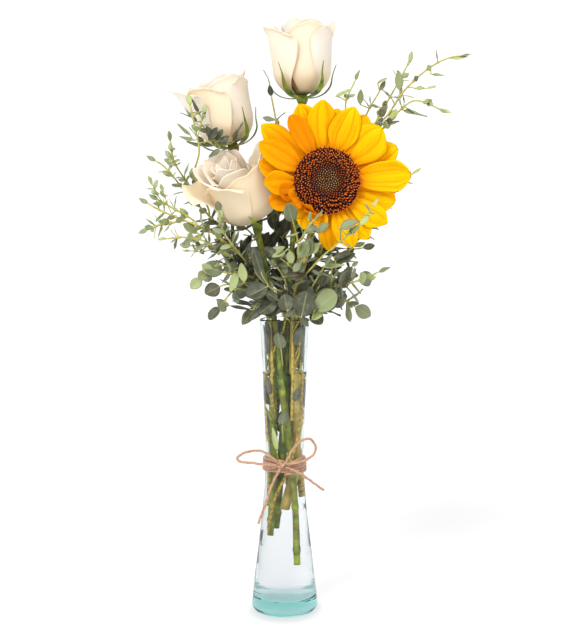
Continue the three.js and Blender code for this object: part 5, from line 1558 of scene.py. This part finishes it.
# More leaves that stand out in front: each one's root, tip, width and tone, which is partly painted light
# and shade, light for lit leaves and dark for shaded ones. It grows on the nearest twig.
FRONT_LEAVES = {
    "eucalyptus_right": [
        [[89, 15, 405.7], [87.8, 13, 421], 6.5, 0.7], [[96.7, 14, 427.3], [98, 13, 435.5], 3.6, 0.9],
        [[58.4, 14, 395], [58.9, 13, 406.5], 5, 0.75], [[72.4, 18, 411.9], [79.4, 16, 415.4], 3.6, 0.8],
        [[100.7, 13, 407.1], [108, 12, 407.4], 4.4, 0.9], [[110.2, 12, 407.1], [117, 11, 408.6], 3.2, 0.95],
        [[112.9, 13, 417.9], [123.6, 12, 416.8], 2.8, 0.7], [[127.7, 9, 429.2], [141, 8, 430.4], 3.2, 1.0],
        [[118.2, 8, 390.9], [127.7, 6, 387.7], 4.2, 1.0], [[91.3, 14, 390.9], [110.2, 10, 385.5], 4, 0.6],
        [[81.9, 18, 383], [87.2, 16, 391.5], 7, 1.0], [[75.1, 19, 385.5], [77, 17, 392.5], 5.2, 0.45],
        [[40, 12, 401], [50, 8, 405.5], 5, 1.0],
    ],
    "eucalyptus_upper_left": [
        [[-64.3, -12, 386], [-68.9, -16, 395.5], 3.2, 0.3], [[-61.6, -10, 382], [-58.9, -13, 389], 3, 0.3],
        [[-65.7, -12, 379.3], [-71.1, -15, 386], 3.5, 0.35],
        [[-53.5, -8, 365.7], [-58.9, -11, 376.6], 6, 0.25],
        [[-52.1, -8, 365.7], [-46.2, -10, 373.8], 6, 0.3],
        [[-56.2, -9, 371.1], [-64.3, -12, 373.9], 5, 0.35], [[-53.5, -8, 361.6], [-63, -12, 363], 5, 0.3],
        [[-68.4, -10, 365.7], [-79.2, -13, 368.4], 4, 0.7],
        [[-71.1, -10, 369.8], [-80.6, -12, 377.9], 3.5, 0.7],
        [[-63, -8, 361.6], [-73.8, -12, 364.4], 4, 0.5], [[-44, -8, 363], [-50.8, -10, 368.4], 5, 0.2],
        [[-38.6, -7, 364.4], [-35.9, -9, 372.5], 4, 0.1], [[-40, -8, 366], [-31, -10, 379.3], 3, 0.05],
        [[-57, -10, 365], [-50, -13, 375], 7, 0.2], [[-50, -9, 362], [-41, -11, 369], 6.5, 0.15],
        [[-49, -9, 359], [-57, -12, 352.5], 5, 0.4], [[-60, -9, 362], [-66, -12, 369], 5, 0.3],
    ],
    "eucalyptus_back": [
        [[-12, 20, 262], [-22, 18, 279], 11, 0.05], [[-4, 22, 266], [4, 20, 284], 11, 0.0],
        [[-20, 18, 280], [-12, 16, 297], 10, 0.05], [[6, 20, 268], [13, 18, 287], 11, 0.05],
        [[-28, 16, 260], [-36, 14, 275], 10, 0.1], [[0, 22, 286], [-7, 20, 303], 10, 0.0],
        [[9, 20, 288], [16, 18, 305], 9, 0.0], [[-2, 18, 256], [-10, 16, 268], 10, 0.0],
        [[14, 16, 256], [20, 14, 272], 11, 0.05], [[-2, 18, 292], [5, 16, 313], 9, 0.05],
        [[-8, 17, 298], [-11, 14, 317], 9, 0.1], [[6, 16, 300], [13, 14, 318], 9, 0.05],
        [[-13, 18, 284], [-3, 15, 300], 9, 0.1], [[-6, 16, 272], [2, 14, 291], 10, 0.0],
        [[3, 17, 262], [-5, 14, 279], 10, 0.05],
    ],
    "eucalyptus_front": [
        [[-12.4, -33, 279.5], [0.9, -36, 286.2], 8, 0.7], [[10.1, -36, 278.2], [18.1, -39, 290.2], 11, 0.7],
        [[23.4, -42, 296.8], [32.7, -44, 303.4], 7, 0.6], [[1, -35, 283], [-9, -38, 278.5], 6, 0.8],
        [[4, -36, 283], [5.5, -38, 273.5], 6.5, 0.85], [[19, -38, 281], [26, -40, 289], 7, 0.8],
        [[5, -33, 274], [15, -36, 267.5], 7, 0.35], [[-16.4, -31, 264.9], [-23, -33, 286.2], 9, 0.2],
        [[-0.5, -31, 263.6], [16.8, -33, 266.3], 9, 0.05], [[40, -50, 300], [54, -53, 305], 9, 0.6],
        [[-12.5, -30, 256.5], [-28.5, -33, 249], 16, 0.15],
        [[-5.8, -28, 246.4], [-19.1, -31, 235.7], 13, 0.2], [[2.2, -29, 238], [0.2, -32, 251], 13, 0.25],
        [[12.8, -29, 233.5], [16.8, -32, 253.3], 18, 0.2], [[-4, -31, 246], [-15, -33.5, 253.5], 8, 0.15],
        [[-15, -26, 242], [-8, -29, 232.5], 9, 0.2], [[-2, -27, 245], [-12, -30, 235], 11, 0.1],
        [[8, -27, 243.5], [0, -30, 233.5], 10, 0.15],
    ],
    "eucalyptus_low_right": [
        [[28.7, -34, 271.6], [44.6, -36, 272.9], 5, 0.8], [[36.7, -32, 278.2], [49.9, -34, 282.2], 6, 0.25],
        [[23, -27, 239], [39.5, -30, 252], 20, 0.7], [[20.8, -26, 231.5], [30, -28, 238.4], 7, 1.0],
    ],
    "eucalyptus_left": [
        [[-29.7, -27, 259.6], [-32.3, -29, 274.2], 7, 0.9],
        [[-35, -26, 267.6], [-40.3, -28, 251.7], 7, 0.8], [[-52.2, -25, 265], [-61.5, -27, 273], 9, 0.8],
        [[-16.4, -24, 239.7], [-27, -27, 230.4], 7, 0.15], [[-24.4, -22, 238.5], [-41.6, -24, 242], 3, 0.0],
        [[-23, -20, 241], [-38, -21, 247.5], 3, 0.0],
    ],
}
# Leaves pressed against the inside of the glass: angle in degrees, lowest height, length, width and tone.
# Some have a sixth number, how far inside the others they lie.
PRESSED_LEAVES = [
    [-170, 206, 18, 9, 0.2], [-147, 203, 23, 10, 0.1], [-99, 208, 13, 10, 0.4], [-46, 209, 17, 11, 0.25],
    [-24, 196, 20, 9, 0.1], [-141, 172, 15, 8, 0.05], [-54, 167, 11, 7, 0.2], [-98, 149, 11, 8, 0.35],
    [-118, 128, 19, 5, 0.95], [8, 206, 18, 10, 0.05], [30, 200, 22, 11, 0.0], [52, 205, 20, 12, 0.05],
    [76, 201, 24, 12, 0.0], [100, 205, 20, 12, 0.05], [124, 200, 23, 12, 0.0], [148, 205, 20, 11, 0.1],
    [172, 200, 20, 10, 0.05], [-160, 190, 16, 9, 0.1], [-10, 190, 17, 9, 0.1], [-2, 209, 17, 9, 0.15],
    [36, 189, 17, 10, 0.0], [64, 189, 16, 11, 0.05], [90, 189, 18, 11, 0.0], [116, 189, 16, 11, 0.0],
    [144, 189, 17, 10, 0.05], [98, 140, 22, 10, 0.0], [70, 138, 22, 9, 0.0], [126, 138, 22, 9, 0.0],
    [-172, 213, 15, 13, 0.2, 1.4], [-154, 214, 14, 10, 0.1, 1.4], [-10, 213, 15, 12, 0.1, 1.4],
    [44, 213, 15, 13, 0.0, 1.4], [78, 214, 14, 13, 0.0, 1.4], [110, 213, 15, 13, 0.0, 1.4],
    [142, 214, 14, 12, 0.0, 1.4], [20, 214, 14, 12, 0.0, 1.4], [170, 164, 18, 8, 0.0],
    [56, 160, 24, 10, 0.0], [84, 163, 22, 11, 0.05], [112, 160, 24, 10, 0.0], [140, 163, 20, 10, 0.0],
    [14, 160, 20, 9, 0.0],
]
# Forks of the branches that show inside the glass.
NECK_FORKS = [
    [[-8, -9.3, 205], [-6, -10.5, 213], [-1.5, -11, 221], [1, -11, 231]],
    [[6.4, -11.2, 195], [8.8, -12, 199], [10.8, -12, 205], [11.2, -11, 213]],
    [[6, -11.2, 219], [8, -11.8, 224], [11.5, -12, 230]],
]


def add_sprig(twig, share, owner, draw, taken):
    """A short thin twig of tiny leaves. It is left out where it would meet something."""
    spot, along = twig.line.at(share)
    way = leaf_direction(along, 2 * math.pi * draw(), math.radians(30 + 25 * draw()))
    way = unit(way + np.array([0, -0.1, 0.25]))
    length = SPRIG_LENGTH * (0.7 + 0.7 * draw())
    points = [spot, spot + way * length * 0.5, spot + way * length + np.array([0, 0, 0.12 * length])]
    sprig = Twig(points, 0.25, [0.4, 0.28])
    clear = sprig.line.even(1.5)[3:]
    if in_the_way(clear, 1.2).any() or not taken.leave_room(clear, 1.0, owner, spot, 0.5):
        return
    end = end_leaf(sprig, sprig.line.at(1)[1], 6.5 + 2 * draw(), 0.5, draw() - 0.5)
    end.tone = 0.3
    sprig.leaves.append(end)
    taken.add(clear, 0.6, owner)
    grow_leaves(sprig, (2, 0.3, 0.95, (8.5, 6.5), (0.6, 0.5)), owner, draw, taken, 5.0, 0.45, 0.3)
    twig.twigs.append(sprig)


def nearest_spot(main, point):
    """The point on a branch's stem or twigs that is nearest, and its direction there."""
    spots = [twig.line.at(share) for twig in [main] + main.twigs for share in np.linspace(0.1, 1, 46)]
    return min(spots, key=lambda spot: np.linalg.norm(spot[0] - point))


def add_front_leaves(main, rows, taken, owner):
    """Leaves with set roots and tips, each on a stalk that bends over from the nearest twig."""
    for root, tip, width, tone in rows:
        root = np.array(root)
        reach = np.subtract(tip, root)
        length = np.linalg.norm(reach)
        reach = unit(reach)
        spot, along = nearest_spot(main, root)
        points = [spot, mix(spot, root, 0.5) + along * 0.8 - reach * 0.8, root]
        twig = Twig(points, 0.2, [0.55, 0.4])
        leaf = end_leaf(twig, reach, length, width / length, 0.0)
        leaf.set_tone = tone
        twig.leaves.append(leaf)
        taken.add(*leaf.balls(), owner)
        main.twigs.append(twig)


def add_pressed_leaf(skin, angle, low, length, width, tone, inward=0):
    """A leaf that lies along the inside of the glass, from a stalk that comes up from among the stems."""
    s = np.linspace(0.02, 0.99, 11)[:, None]
    u = np.linspace(-1, 1, 9)[None]
    half = width / 2 * np.sin(np.pi * s**0.85) ** 0.65
    z = low + length * s + 0 * u
    lean = math.radians(12) * math.sin(3 * angle)
    gap = 0.75 if low < WATER_TOP else 0.45
    radius = inner_radius(z) - gap - inward - 0.5 * np.abs(u) ** 2
    around = np.radians(angle) + (u * half + lean * length * s) / radius
    grid = polar(around, radius, 0, z)
    skin.sheet(grid, 0.4, s, u, tone)
    root = grid[0, 4]
    stalk = np.array([root * [0.55, 0.55, 1] - [0, 0, 14], root * [0.8, 0.8, 1] - [0, 0, 6], root])
    skin.tube(Line(stalk).even(1.5), 0.45, 6, 0.9, 1)


def fill_branch(branch, main, owner, taken):
    """Dark leaves that fill the middle over the rim, painted dark as shade, then small leaves and sprigs
    further out.
    """
    draw = draws(branch["seed"] + 5)
    rim, low, high = (main.line.share_at_height(z) for z in FILLED_HEIGHTS)
    grown = list(main.twigs)
    bare = branch["name"] in BARE_BRANCHES
    stem_pitch, twig_pitch = (30, 22) if bare else (15, 13)
    add_front_leaves(main, FRONT_LEAVES.get(branch["name"], []), taken, owner)
    count = round((0.97 - high) * main.length / stem_pitch)
    round_run = 9, rim, high, (19, 14), (0.9, 0.75)
    long_run = 14, low, min(0.9, high + 0.2), (28, 16), (0.28, 0.32)
    small_run = count, high, 0.97, (13, 10), (0.6, 0.45)
    # Painted shade: lower tones paint the leaves that fill the middle darker than those further out.
    grow_leaves(main, round_run, owner, draw, taken, smallest=8, near=0.45, tone=-0.1)
    grow_leaves(main, long_run, owner, draw, taken, smallest=9, near=0.4, tone=-0.35)
    grow_leaves(main, small_run, owner, draw, taken, smallest=7, near=0.5, tone=0.15)
    for twig in grown:
        count = round(twig.length / twig_pitch)
        run = count, 0.15, 0.97, (12, 8.5), (0.6, 0.45)
        grow_leaves(twig, run, owner, draw, taken, smallest=6, near=0.5, tone=0.25)
    for twig in [] if bare else [main] + grown:
        start = high if twig is main else 0.2
        for share in np.arange(start + 0.04, 0.95, SPRIG_EVERY / twig.length):
            add_sprig(twig, share, owner, draw, taken)


# Eucalyptus: the leaves and twigs as they look

LARGE_LEAF = 9


def add_leaf(skin, leaf, tone, draw):
    """A thin leaf with a fold along its midrib, a wavy edge and a short stalk."""
    rows, cols = (11, 9) if leaf.length > LARGE_LEAF else (7, 5)
    s = np.linspace(0.015, 0.995, rows)[:, None]
    u = np.linspace(-1, 1, cols)[None]
    half = leaf.half_width(s)
    fold = (0.10 + 0.15 * draw()) * half * np.abs(u) ** 1.3
    wave = 0.035 * leaf.length * np.sin(7 * s + 2 * np.sign(u) + 6.3 * draw()) * np.abs(u) ** 2
    grid = leaf.point(s, u, fold + wave)
    skin.sheet(grid, 0.4, s, u, tone)
    stalk = np.array([leaf.root - leaf.along * 0.6, leaf.root + leaf.along * 0.4, leaf.point(0.12, 0)])
    thick = 0.3 + 0.012 * leaf.length
    skin.tube(stalk, thick * np.array([1, 0.9, 0.6]), 5, 0.9, 1)


def leaf_tone_and_shade(leaf, draw):
    """Big leaves low down are dark and grey, and small ones near the tips are light and green. This is
    partly their own colour and partly painted shade, which also paints leaves in the middle and at the back
    darker and those at the front lighter; part of the tone differs at random.
    """
    if leaf.set_tone is not None:
        return leaf.set_tone
    height = smooth(225, 330, leaf.root[2])
    away = smooth(15, 95, math.hypot(leaf.root[0], leaf.root[1]))
    front = smooth(15, -25, leaf.root[1])
    tone = 0.05 + 0.22 * height + 0.55 * away + 0.18 * front + leaf.tone + 0.75 * (draw() - 0.5)
    return float(np.clip(tone, 0, 1))


def add_twig(skin, twig, tones):
    points = twig.line.even(1.0)
    distance = np.linspace(0, twig.length, len(points))
    radii = mix(*twig.radii, distance / twig.length) * (1 + 0.07 * np.sin(distance * 1.3))
    for node in twig.nodes:
        radii += 0.35 * np.exp(-(((distance - node) / 0.9) ** 2))
    tones = mix(*tones, smooth(150, 250, points[:, 2]))
    skin.tube(points, radii, 8, tones, 1, (0, twig.length))


def make_branches(leaf, bark):
    """Each branch of the plan with all its twigs and leaves, as one piece."""
    mains, taken = plan_branches()
    for owner, (branch, main) in enumerate(zip(BRANCHES, mains)):
        fill_branch(branch, main, owner, taken)
    for branch, main in zip(BRANCHES, mains):
        draw = draws(branch["seed"] + 2)
        skin = Skin()
        add_twig(skin, main, (0.1, 0.8))
        sprigs = [sprig for twig in main.twigs for sprig in twig.twigs]
        for twig in main.twigs + sprigs:
            add_twig(skin, twig, (0.8, 1.0))
        for twig in [main] + main.twigs + sprigs:
            for grown in twig.leaves:
                add_leaf(skin, grown, leaf_tone_and_shade(grown, draw), draw)
        skin.piece(branch["name"] + "_spray", [leaf, bark], [branch["name"]])


def make_eucalyptus():
    leaf, bark = leaf_material(), twig_material()
    make_branches(leaf, bark)
    pressed = Skin()
    for row in PRESSED_LEAVES:
        add_pressed_leaf(pressed, *row)
    for points in NECK_FORKS:
        pressed.tube(Line(points).even(1.5), 0.75, 8, 0.2, 1, (0, 40))
    pressed.piece("leaves_in_the_neck", [leaf, bark])


make_camera()
make_twine()
make_studio()
make_vase()
make_water()
make_roses()
make_sunflower()
make_eucalyptus()
